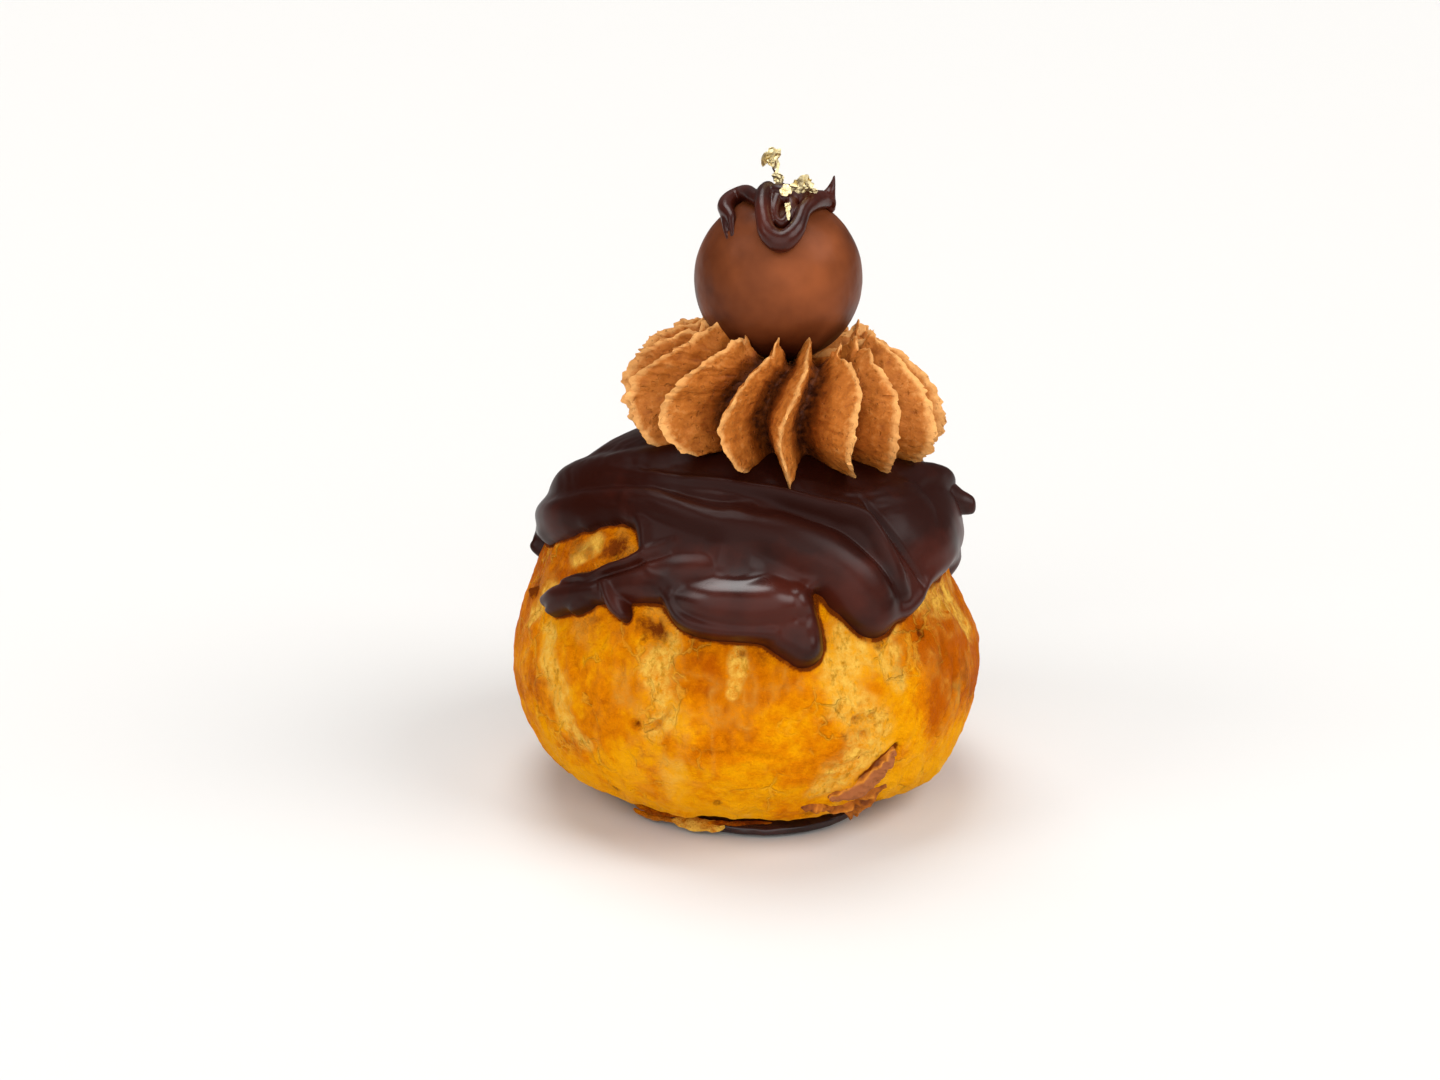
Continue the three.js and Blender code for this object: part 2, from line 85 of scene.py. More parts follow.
def rows(*columns: Array) -> Array:
    """Lay columns of numbers side by side, so that each row is one place."""
    return np.stack(columns, axis=1)


def on_ring(radius: Array, azimuth: Array, height: Array) -> Array:
    """Places at a radius, at an azimuth in degrees and at a height."""
    turn = np.radians(azimuth)
    return rows(radius * np.sin(turn), -radius * np.cos(turn), height)


def at_links(chain: Array, at: Array) -> Array:
    """A chain's numbers at places along it, which are counted in links."""
    return rows(*(np.interp(at, np.arange(len(chain)), column) for column in chain.T))


def turn_between(a: Array, b: Array) -> Array:
    """The turn from b to a in degrees, from -180 to 180."""
    return (a - b + 180.0) % 360.0 - 180.0


def cell_value(cells: Array, seed: int) -> Array:
    """A steady value from -1 to 1 for each cell of a lattice.

    Args:
        cells: Whole numbers, three to a row.
        seed: Gives another set of values.

    Returns:
        One value to a row.
    """
    x, y, z = ((cells[:, i] & 0xFFFFFFFF).astype(np.uint64) for i in range(3))
    h = (x * 374761393 + y * 668265263 + z * 2246822519 + seed * 3266489917) & 0xFFFFFFFF
    h = ((h ^ (h >> 15)) * 2246822519) & 0xFFFFFFFF
    h = ((h ^ (h >> 13)) * 3266489917) & 0xFFFFFFFF
    return ((h ^ (h >> 16)) & 0xFFFFFF).astype(float) / 0x7FFFFF - 1.0


def noise(points: Array, size: float, seed: int) -> Array:
    """Smooth noise from about -1 to 1 with bumps about size across.

    Args:
        points: Places, three numbers to a row.
        size: Distance between the lattice's points, in the same unit.
        seed: Gives another pattern.

    Returns:
        One value to a row.
    """
    scaled = points / size + 0.37 * seed
    cell = np.floor(scaled).astype(np.int64)
    t = scaled - cell
    t = t * t * t * (t * (6.0 * t - 15.0) + 10.0)
    total = np.zeros(len(points))
    for corner in np.ndindex(2, 2, 2):
        weight = np.prod(np.where(np.array(corner), t, 1.0 - t), axis=1)
        total += weight * cell_value(cell + np.array(corner), seed)
    return total


def rough(points: Array, size: float, seed: int, layers: int = 3, fade: float = 0.5) -> Array:
    """Noise with finer noise laid over it.

    Args:
        points: Places, three numbers to a row.
        size: Width of the coarsest bumps.
        seed: Gives another pattern.
        layers: How many sizes, each half the one before.
        fade: Height of each layer against the one before.

    Returns:
        One value to a row, from about -1 to 1.
    """
    total = np.zeros(len(points))
    whole = 0.0
    for k in range(layers):
        total += fade**k * noise(points, size / 2**k, seed + 17 * k)
        whole += fade**k
    return total / whole


def jolt(points: Array, size: float, seed: int, layers: int, fade: float = 0.5) -> Array:
    """Rough noise in all three directions at once, with the settings of rough."""
    return rows(*(rough(points, size, seed + i, layers, fade) for i in range(3)))


def spline(points: Sequence[Row], steps: int) -> Array:
    """A smooth chain through points.

    Args:
        points: The places it passes, each with the same count of numbers.
        steps: Links between one point and the next.

    Returns:
        The chain's points, one to a row.
    """
    p = np.array(points, float)
    p = np.vstack([p[:1], p, p[-1:]])
    t = np.arange((len(p) - 3) * steps + 1) / steps
    i = np.minimum(t.astype(int), len(p) - 4)
    f = (t - i)[:, None]
    a, b, c, d = p[i], p[i + 1], p[i + 2], p[i + 3]
    return 0.5 * (
        2 * b + (c - a) * f + (2 * a - 5 * b + 4 * c - d) * f**2 + (3 * b - a - 3 * c + d) * f**3
    )


def nearest_on_chain(points: Array, chain: Array) -> tuple[Array, Array]:
    """How far points are from a chain of links.

    Args:
        points: Places, three numbers to a row.
        chain: The chain's points, three numbers to a row.

    Returns:
        The distance of each point, and where on the chain it is nearest, counted in links.
    """
    best = np.full(len(points), np.inf)
    where = np.zeros(len(points))
    for i in range(len(chain) - 1):
        link = chain[i + 1] - chain[i]
        length = max(float(link @ link), 1e-12)
        t = np.clip((points - chain[i]) @ link / length, 0.0, 1.0)
        away = np.sum((points - chain[i] - t[:, None] * link) ** 2, axis=1)
        closer = away < best
        best[closer] = away[closer]
        where[closer] = i + t[closer]
    return np.sqrt(best), where


# ------------------------------------------------------------------ meshes


def deselect() -> None:
    """Leave nothing selected, so that an operator acts on its own piece alone."""
    if bpy.context.mode != "OBJECT":
        bpy.ops.object.mode_set(mode="OBJECT")
    bpy.ops.object.select_all(action="DESELECT")


def select_only(piece: bpy.types.Object) -> None:
    """Select one piece and make it the active one."""
    deselect()
    piece.select_set(True)
    bpy.context.view_layer.objects.active = piece


def sheet(name: str, across: int, up: int) -> tuple[bpy.types.Object, Array, Array]:
    """Add a flat grid.

    Args:
        name: The piece's name.
        across: Faces along it.
        up: Faces up it.

    Returns:
        The grid, and how far along and up it each vertex is, from -1 to 1.
    """
    deselect()
    bpy.ops.mesh.primitive_grid_add(x_subdivisions=across, y_subdivisions=up, size=2.0)
    piece = bpy.context.object
    piece.name = piece.data.name = name
    flat = np.empty(len(piece.data.vertices) * 3)
    piece.data.vertices.foreach_get("co", flat)
    return piece, flat[0::3], flat[1::3]


def blank(name: str, round_steps: int, up_steps: int) -> tuple[bpy.types.Object, Array, Array]:
    """Add a grid that is then wrapped round a form, from its lower pole to its upper one.

    Args:
        name: The piece's name.
        round_steps: Faces round the form.
        up_steps: Faces from pole to pole.

    Returns:
        The grid, and the azimuth in degrees of each vertex, and the share of the way up it.
    """
    piece, across, up = sheet(name, round_steps, up_steps)
    return piece, across * 180.0, (up + 1.0) / 2.0


def move_to(piece: bpy.types.Object, points: Array) -> None:
    """Move a piece's vertices to places in metres."""
    piece.data.vertices.foreach_set("co", np.ascontiguousarray(points, float).ravel())
    piece.data.update()


def paint(piece: bpy.types.Object, **layers: Array) -> None:
    """Store a number for each vertex in each named layer, for the piece's material to read."""
    for name, values in layers.items():
        layer = piece.data.attributes.new(name, "FLOAT", "POINT")
        layer.data.foreach_set("value", np.ascontiguousarray(values, np.float32))


def apply_modifier(piece: bpy.types.Object, kind: str, **settings: Any) -> None:
    """Add a modifier with its settings and apply it at once."""
    select_only(piece)
    modifier = piece.modifiers.new(kind.title(), kind)
    for key, value in settings.items():
        setattr(modifier, key, value)
    bpy.ops.object.modifier_apply(modifier=modifier.name)


def outward(piece: bpy.types.Object) -> None:
    """Weld a closed piece's doubles and turn its faces outwards."""
    select_only(piece)
    bpy.ops.object.mode_set(mode="EDIT")
    bpy.ops.mesh.select_all(action="SELECT")
    bpy.ops.mesh.remove_doubles(threshold=1e-6)
    bpy.ops.mesh.normals_make_consistent(inside=False)
    bpy.ops.object.mode_set(mode="OBJECT")
    deselect()


def joined(parts: Sequence[bpy.types.Object], name: str) -> bpy.types.Object:
    """Make one piece with one name of several parts."""
    select_only(parts[0])
    for part in parts:
        part.select_set(True)
    bpy.ops.object.join()
    parts[0].name = parts[0].data.name = name
    return parts[0]


def combine(piece: bpy.types.Object, other: bpy.types.Object, operation: str) -> None:
    """Join a closed helper to a piece or cut it out, and remove the helper.

    Args:
        piece: The piece that is changed.
        other: The helper.
        operation: "UNION" or "DIFFERENCE".
    """
    outward(other)
    apply_modifier(piece, "BOOLEAN", object=other, operation=operation, solver="MANIFOLD")
    mesh = other.data
    bpy.data.objects.remove(other)
    bpy.data.meshes.remove(mesh)


# ------------------------------------------------------------------ materials


def linear(colour: str) -> tuple[float, float, float, float]:
    """The linear colour of an sRGB hex value such as "C08040"."""
    parts = [int(colour[i : i + 2], 16) / 255 for i in (0, 2, 4)]
    red, green, blue = (
        c / 12.92 if c <= 0.04045 else ((c + 0.055) / 1.055) ** 2.4 for c in parts
    )
    return (red, green, blue, 1.0)


def feed(node: bpy.types.Node, inputs: dict[Any, Any]) -> None:
    """Give a node its inputs.

    Args:
        node: The node.
        inputs: What goes into each input: a plain value, an output socket, or a node whose
            first output is meant.
    """
    for socket, value in inputs.items():
        if isinstance(value, bpy.types.Node):
            value = value.outputs[0]
        if isinstance(value, bpy.types.NodeSocket):
            node.id_data.links.new(value, node.inputs[socket])
        else:
            node.inputs[socket].default_value = value


def add_node(
    tree: bpy.types.NodeTree,
    kind: str,
    inputs: Optional[dict[Any, Any]] = None,
    **settings: Any,
) -> bpy.types.Node:
    """Add a node with its settings and its links.

    Args:
        tree: The material's node tree.
        kind: The shader node's type, such as "TexNoise".
        inputs: What feed gives it.
        **settings: Properties of the node itself; stops sets a colour ramp's places and colours.

    Returns:
        The new node.
    """
    node = tree.nodes.new("ShaderNode" + kind)
    for place, (position, colour) in enumerate(settings.pop("stops", ())):
        elements = node.color_ramp.elements
        element = elements[place] if place < len(elements) else elements.new(1.0)
        element.position, element.color = position, linear(colour)
    for key, value in settings.items():
        setattr(node, key, value)
    feed(node, inputs or {})
    return node


def per_metre(size_mm: float) -> float:
    """The texture scale that gives a pattern about size_mm across on Object coordinates."""
    return 1.0 / (size_mm * MM)


def new_material(
    name: str,
) -> tuple[bpy.types.Material, bpy.types.Node, Callable[..., bpy.types.Node]]:
    """A material with one Principled shader and nothing else.

    Args:
        name: What it is made of.

    Returns:
        The material, its shader, and add_node for its tree.
    """
    material = bpy.data.materials.new(name)
    material.use_nodes = True
    material.node_tree.nodes.clear()
    add = partial(add_node, material.node_tree)
    shader = add("BsdfPrincipled")
    add("OutputMaterial", {"Surface": shader})
    return material, shader, add


@dataclass(frozen=True)
class BakedCrust:
    """Egg-washed choux crust: toasted in patches, pale and porous where the wash cracked."""

    straw: str = "FFAE08"
    light: str = "FAA402"
    golden: str = "E98500"
    deep: str = "C25C00"
    pale: str = "FFC650"
    crack: str = "FFC63E"
    speck: str = "CB8519"
    brown: str = "7A3608"
    fleck_mm: float = 1.5
    grain_mm: float = 0.6
    crumb_mm: float = 1.1
    wander_mm: float = 7.0
    plate_mm: float = 5.0
    bend_mm: float = 3.4
    relief_mm: float = 0.5

    def build(self) -> bpy.types.Material:
        """Make the crust; it reads the attributes toast, pale, brown and pore."""
        # Baked pastry is dry and rough: the eye sees warm matt gold with hardly any shine.
        material, shader, add = new_material("baked_choux_crust")
        where = add("TexCoord").outputs["Object"]
        toast, pale, brown, pore = (
            add("Attribute", attribute_name=name).outputs["Fac"]
            for name in ("toast", "pale", "brown", "pore")
        )
        # The skin stretched upwards as it rose, so its slow patterns are taller than wide.
        upright = add("Mapping", {"Vector": where, "Scale": (1.0, 1.0, 0.6)})
        # Flecks and blisters of the egg wash, its finest grain, open crumb and slow waves.
        fine, grain, crumb, wander, shift = (
            add(
                "TexNoise",
                {
                    "Vector": place,
                    "Scale": per_metre(size),
                    "Detail": detail,
                    "Roughness": roughness,
                    "Distortion": distortion,
                },
            )
            for place, size, detail, roughness, distortion in (
                (where, self.fleck_mm, 6.0, 0.7, 0.0),
                (where, self.grain_mm, 4.0, 0.7, 0.0),
                (upright, self.crumb_mm, 3.0, 0.65, 0.0),
                (upright, self.wander_mm, 2.5, 0.55, 0.5),
                (where, 2.6, 3.0, 0.5, 0.0),
            )
        )
        # It set in plates with bent edges, and cracked apart along some of them.
        bend = {0: shift.outputs["Color"], 1: (self.bend_mm * MM,) * 3, 2: where}
        bent = add("VectorMath", bend, operation="MULTIPLY_ADD")
        plate = add(
            "TexVoronoi",
            {"Vector": bent, "Scale": per_metre(self.plate_mm)},
            feature="DISTANCE_TO_EDGE",
        )
        edge = add(
            "MapRange",
            {0: plate, 1: 0.004, 2: 0.06, 3: 1.0, 4: 0.0},
            interpolation_type="SMOOTHSTEP",
        )
        split = add("MapRange", {0: wander, 1: 0.5, 2: 0.62})
        crack = add("Math", {0: edge, 1: split}, operation="MULTIPLY")
        flake = add(
            "MapRange",
            {0: wander, 1: 0.3, 2: 0.7, "Steps": 6.0},
            interpolation_type="STEPPED",
        )
        # The toast layer holds painted light and painted shade as well as the bake.
        tone = add("Math", {0: fine, 1: 0.85, 2: toast}, operation="MULTIPLY_ADD")
        tone = add("MapRange", {0: tone, 1: 0.5, 2: 1.36})
        tones = ((0.04, self.straw), (0.3, self.light), (0.55, self.golden), (0.92, self.deep))
        colour = add("ValToRGB", {"Fac": tone}, stops=tones).outputs["Color"]
        # Over-baked spots, and the painted shade along the glaze's edge, end in specks, not in a
        # blur.
        baked = add("Math", {0: fine, 1: 2.2, 2: brown}, operation="MULTIPLY_ADD")
        baked = add("MapRange", {0: baked, 1: 1.2, 2: 1.95, 4: 1.5})
        # Where the skin tore as it rose, the paler crumb shows through in flakes.
        ragged = add("MapRange", {0: fine, 1: 0.33, 2: 0.66, 4: 1.4})
        opened = add("MapRange", {0: crumb, 1: 0.53, 2: 0.72})
        for pattern, share, other in (
            (crack, 0.3, self.crack),
            (ragged, pale, self.pale),
            (opened, pore, self.speck),
            (baked, brown, self.brown),
        ):
            shown = add("Math", {0: pattern, 1: share}, operation="MULTIPLY", use_clamp=True)
            layers = {0: shown, 6: colour, 7: linear(other)}
            colour = add("Mix", layers, data_type="RGBA").outputs[2]
        relief = grain
        for height, depth in ((fine, 2.4), (crack, -1.0), (flake, 0.9), (crumb, -0.7)):
            relief = add("Math", {0: height, 1: depth, 2: relief}, operation="MULTIPLY_ADD")
        bump = {"Height": relief, "Strength": 0.95, "Distance": self.relief_mm * MM}
        feed(
            shader,
            {
                "Base Color": colour,
                "Normal": add("Bump", bump),
                "Roughness": add("MapRange", {0: fine, 1: 0.3, 2: 0.7, 3: 0.4, 4: 0.62}),
                "IOR": 1.4,
                "Specular IOR Level": 0.02,
            },
        )
        return material


class Chocolate(Enum):
    """How a chocolate surface was made."""

    POURED = "poured_dark_glaze"
    PIPED = "piped_dark_ganache"
    ROLLED = "rolled_milk_chocolate"
    SPREAD = "spread_dark_ganache"


@dataclass(frozen=True)
class ChocolateFinish:
    """Set chocolate: smooth fat with a soft gloss and slow, faint waves in it."""

    kind: Chocolate
    body: str
    thin: str
    roughness: float
    wave_mm: float = 6.0
    wave_height: float = 0.05
    blotch_mm: float = 7.0
    spread: float = 0.165
    specular: float = 0.5
    # Where the blotches are half way from the body's colour to the thin one.
    halfway: float = 0.515
    wet_share: float = 0.42

    def build(self) -> bpy.types.Material:
        """Make the chocolate; it reads the attributes bloom, wet and shine."""
        # Set chocolate is a dark fat: the eye sees deep brown under a soft, broad gloss.
        material, shader, add = new_material(self.kind.value)
        where = add("TexCoord").outputs["Object"]
        bloom, wet, shine = (
            add("Attribute", attribute_name=name).outputs["Fac"]
            for name in ("bloom", "wet", "shine")
        )
        blotch, wave = (
            add("TexNoise", {"Vector": where, "Scale": per_metre(size), "Detail": detail})
            for size, detail in ((self.blotch_mm, 3.0), (self.wave_mm, 1.0))
        )
        # Random blotches of tone, and the painted highlight, painted reflection and painted shade
        # that each piece paints in, pale or darken the colour.
        pale = add("Math", {0: blotch, 1: bloom}, operation="ADD")
        low, high = self.halfway - self.spread, self.halfway + self.spread
        colour = add("ValToRGB", {"Fac": pale}, stops=((low, self.body), (high, self.thin)))
        uneven = add("Math", {0: blotch, 1: 0.5}, operation="SUBTRACT")
        uneven = add("Math", {0: uneven, 1: -0.8, 2: wet}, operation="MULTIPLY_ADD")
        gloss = {0: uneven, 3: self.roughness, 4: self.roughness * self.wet_share}
        bump = {"Height": wave, "Strength": 1.0, "Distance": self.wave_height * MM}
        # Where it stands thick it dried slowly and kept its shine.
        sheen = {0: shine, 1: self.specular, 2: self.specular}
        feed(
            shader,
            {
                "Base Color": colour,
                "Roughness": add("MapRange", gloss),
                "Normal": add("Bump", bump),
                "Specular IOR Level": add("Math", sheen, operation="MULTIPLY_ADD"),
                "IOR": 1.45,
            },
        )
        return material


@dataclass(frozen=True)
class WhippedCream:
    """Whipped chocolate cream: matt, with burst air bubbles, a torn, lighter edge and painted shade
    in its grooves.
    """

    name: str = "whipped_chocolate_cream"
    rim: str = "EBAA62"
    light: str = "BE6F28"
    body: str = "8E4710"
    deep: str = "401904"
    grain_mm: float = 1.3
    bubble_mm: float = 0.7
    relief_mm: float = 0.25

    def build(self) -> bpy.types.Material:
        """Make the cream; it reads the attribute crest, 1 on a thin edge and 0 in a groove."""
        # Whipped cream is air and fat: the eye sees matt tan that is lighter where it is thin;
        # painted shade makes it darkest in the grooves.
        material, shader, add = new_material(self.name)
        where = add("TexCoord").outputs["Object"]
        crest = add("Attribute", attribute_name="crest").outputs["Fac"]
        grain, bubbles = (
            add(
                "TexNoise",
                {
                    "Vector": where,
                    "Scale": per_metre(size),
                    "Detail": detail,
                    "Roughness": roughness,
                },
            )
            for size, detail, roughness in (
                (self.grain_mm, 5.0, 0.65), (self.bubble_mm, 2.0, 0.5)
            )
        )
        mixed = add("Math", {0: grain, 1: 0.8, 2: crest}, operation="MULTIPLY_ADD")
        mixed = add("MapRange", {0: mixed, 1: 0.2, 2: 1.6})
        tones = ((0.08, self.deep), (0.4, self.body), (0.68, self.light), (0.95, self.rim))
        # Burst bubbles, torn open rather than round.
        hole = add("MapRange", {0: bubbles, 1: 0.62, 2: 0.74, 4: -1.0})
        height = add("Math", {0: grain, 1: 1.4, 2: hole}, operation="MULTIPLY_ADD")
        bump = {"Height": height, "Strength": 0.8, "Distance": self.relief_mm * MM}
        feed(
            shader,
            {
                "Base Color": add("ValToRGB", {"Fac": mixed}, stops=tones),
                "Normal": add("Bump", bump),
                "Roughness": 0.55,
                "IOR": 1.45,
                "Specular IOR Level": 0.2,
            },
        )
        return material


@dataclass(frozen=True)
class EdibleGold:
    """Beaten gold leaf: bright metal, creased by hand."""

    colour: str = "F1E0AE"
    roughness: float = 0.42
    crease_mm: float = 0.8
    relief_mm: float = 0.2

    def build(self) -> bpy.types.Material:
        """Make the gold."""
        # Gold leaf is bare metal: the eye sees a pale yellow mirror that creases break up.
        material, shader, add = new_material("beaten_gold_leaf")
        where = add("TexCoord").outputs["Object"]
        creases = {"Vector": where, "Scale": per_metre(self.crease_mm), "Detail": 2.0}
        height = add("TexNoise", creases)
        bump = {"Height": height, "Strength": 0.7, "Distance": self.relief_mm * MM}
        feed(
            shader,
            {
                "Base Color": linear(self.colour),
                "Metallic": 1.0,
                "Roughness": self.roughness,
                "Normal": add("Bump", bump),
            },
        )
        return material


@dataclass(frozen=True)
class PaleTable:
    """A plain pale table top."""

    colour: str = "DDDBD8"

    def build(self) -> bpy.types.Material:
        """Make the table's paint."""
        # Painted board is matt: the eye sees plain warm grey, and only shadows on it.
        material, shader, _ = new_material("pale_matt_table")
        feed(shader, {"Base Color": linear(self.colour), "Roughness": 0.7})
        return material


def finish_piece(
    piece: bpy.types.Object,
    material: bpy.types.Material,
    node: Optional[str],
    angle: float,
) -> None:
    """Dress a piece and hand it to the frame.

    Args:
        piece: The finished mesh.
        material: What it is made of.
        node: The CAD node that it stands for, if it stands for one.
        angle: Edges sharper than this many degrees stay sharp, and the rest is smooth.
    """
    select_only(piece)
    bpy.ops.object.shade_smooth_by_angle(angle=math.radians(angle))
    piece.data.materials.clear()
    piece.data.materials.append(material)
    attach(piece, "root")
    if node:
        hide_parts(node)
    log.info("%s: %d faces", piece.name, len(piece.data.polygons))


# ------------------------------------------------------------------ the bun


@dataclass(frozen=True)
class Bulge:
    """Where the bun rose more or less than its neighbours."""

    azimuth: float
    height: float
    wide: float
    tall: float
    swell: float


@dataclass
class BunSkin:
    """The bun's skin as a formula that everything on it follows."""

    profile: tuple[Row, ...] = (
        (0, 2.3), (20.5, 2.3), (25.6, 2.9), (29.6, 5.2), (32.8, 9.2), (35.1, 14.2),
        (35.9, 19.4), (35.3, 25), (33.6, 30.5), (31.6, 36), (29.3, 41), (26.2, 45.8),
        (21, 49.8), (13.5, 52.6), (6, 54), (0, 54.3),
    )
    bulges: tuple[Bulge, ...] = (
        Bulge(88, 33, 30, 6, -1.9), Bulge(90, 46, 40, 7, 0.8), Bulge(62, 5, 26, 5, 1.9),
        Bulge(-75, 5, 30, 5, 0.7), Bulge(150, 30, 40, 10, -1.2), Bulge(-150, 14, 45, 9, 1),
        Bulge(-115, 38, 30, 8, -0.7),
    )
    belly: float = 19.4
    # Shares of the profile that lie flat under the foot, and that its slope is read over.
    flat_foot: float = 0.08
    nudge: float = 0.004
    table: Array = field(init=False)
    share: Array = field(init=False)

    def __post_init__(self) -> None:
        """Lay out the profile with its length as the measure along it."""
        self.table = spline(self.profile, 40)
        self.table[:, 0] = np.maximum(self.table[:, 0], 0.0)
        steps = np.linalg.norm(np.diff(self.table, axis=0), axis=1)
        self.share = np.concatenate([[0.0], np.cumsum(steps)]) / steps.sum()

    def swell(self, azimuth: Array, height: Array) -> Array:
        """How far the bulges move the skin out at places given in degrees and millimetres."""
        total = np.zeros(len(azimuth))
        for b in self.bulges:
            across = turn_between(azimuth, b.azimuth) / b.wide
            up = (height - b.height) / b.tall
            total += b.swell * np.exp(-(across**2) - up**2)
        return total

    def place(self, azimuth: Array, share: Array, lift: Array | float = 0.0) -> Array:
        """Places on or over the skin.

        Args:
            azimuth: Degrees round from the front.
            share: Share of the profile's length from the middle of the foot.
            lift: Height over the skin.

        Returns:
            Places in millimetres, one to a row.
        """
        azimuth, share = np.broadcast_arrays(np.atleast_1d(azimuth), np.atleast_1d(share))
        (radius, height), (low_r, low_z), (high_r, high_z) = (
            [np.interp(np.clip(share + nudge, 0, 1), self.share, column) for column in self.table.T]
            for nudge in (0.0, -self.nudge, self.nudge)
        )
        along_r, along_z = high_r - low_r, high_z - low_z
        length = np.hypot(along_r, along_z)
        swollen = radius + smooth_step(radius, 10.0, 22.0) * self.swell(azimuth, height)
        out = swollen + lift * along_z / length
        out = np.where(radius < 1e-6, 0.0, out)
        return on_ring(out, azimuth, height - lift * along_r / length)

    def share_at(self, height: Array | float, upper: bool = True) -> Array:
        """The share of the profile at a height, over the belly or under it."""
        middle = int(np.argmax(self.table[:, 0]))
        foot = int(self.flat_foot * len(self.table))
        part = slice(middle, None) if upper else slice(foot, middle + 1)
        return np.interp(height, self.table[part, 1], self.share[part])


SKIN = BunSkin()


def skin_chain(points: Sequence[Row], steps: int = 8) -> tuple[Array, Array]:
    """A smooth chain over the skin.

    Args:
        points: Azimuth, height and any further numbers, such as a half width.
        steps: Links between one point and the next.

    Returns:
        The chain's places in millimetres, and the further numbers along it.
    """
    chain = spline(points, steps)
    over, under = (SKIN.share_at(chain[:, 1], upper) for upper in (True, False))
    share = np.where(chain[:, 1] > SKIN.belly, over, under)
    return SKIN.place(chain[:, 0], share), chain[:, 2:]


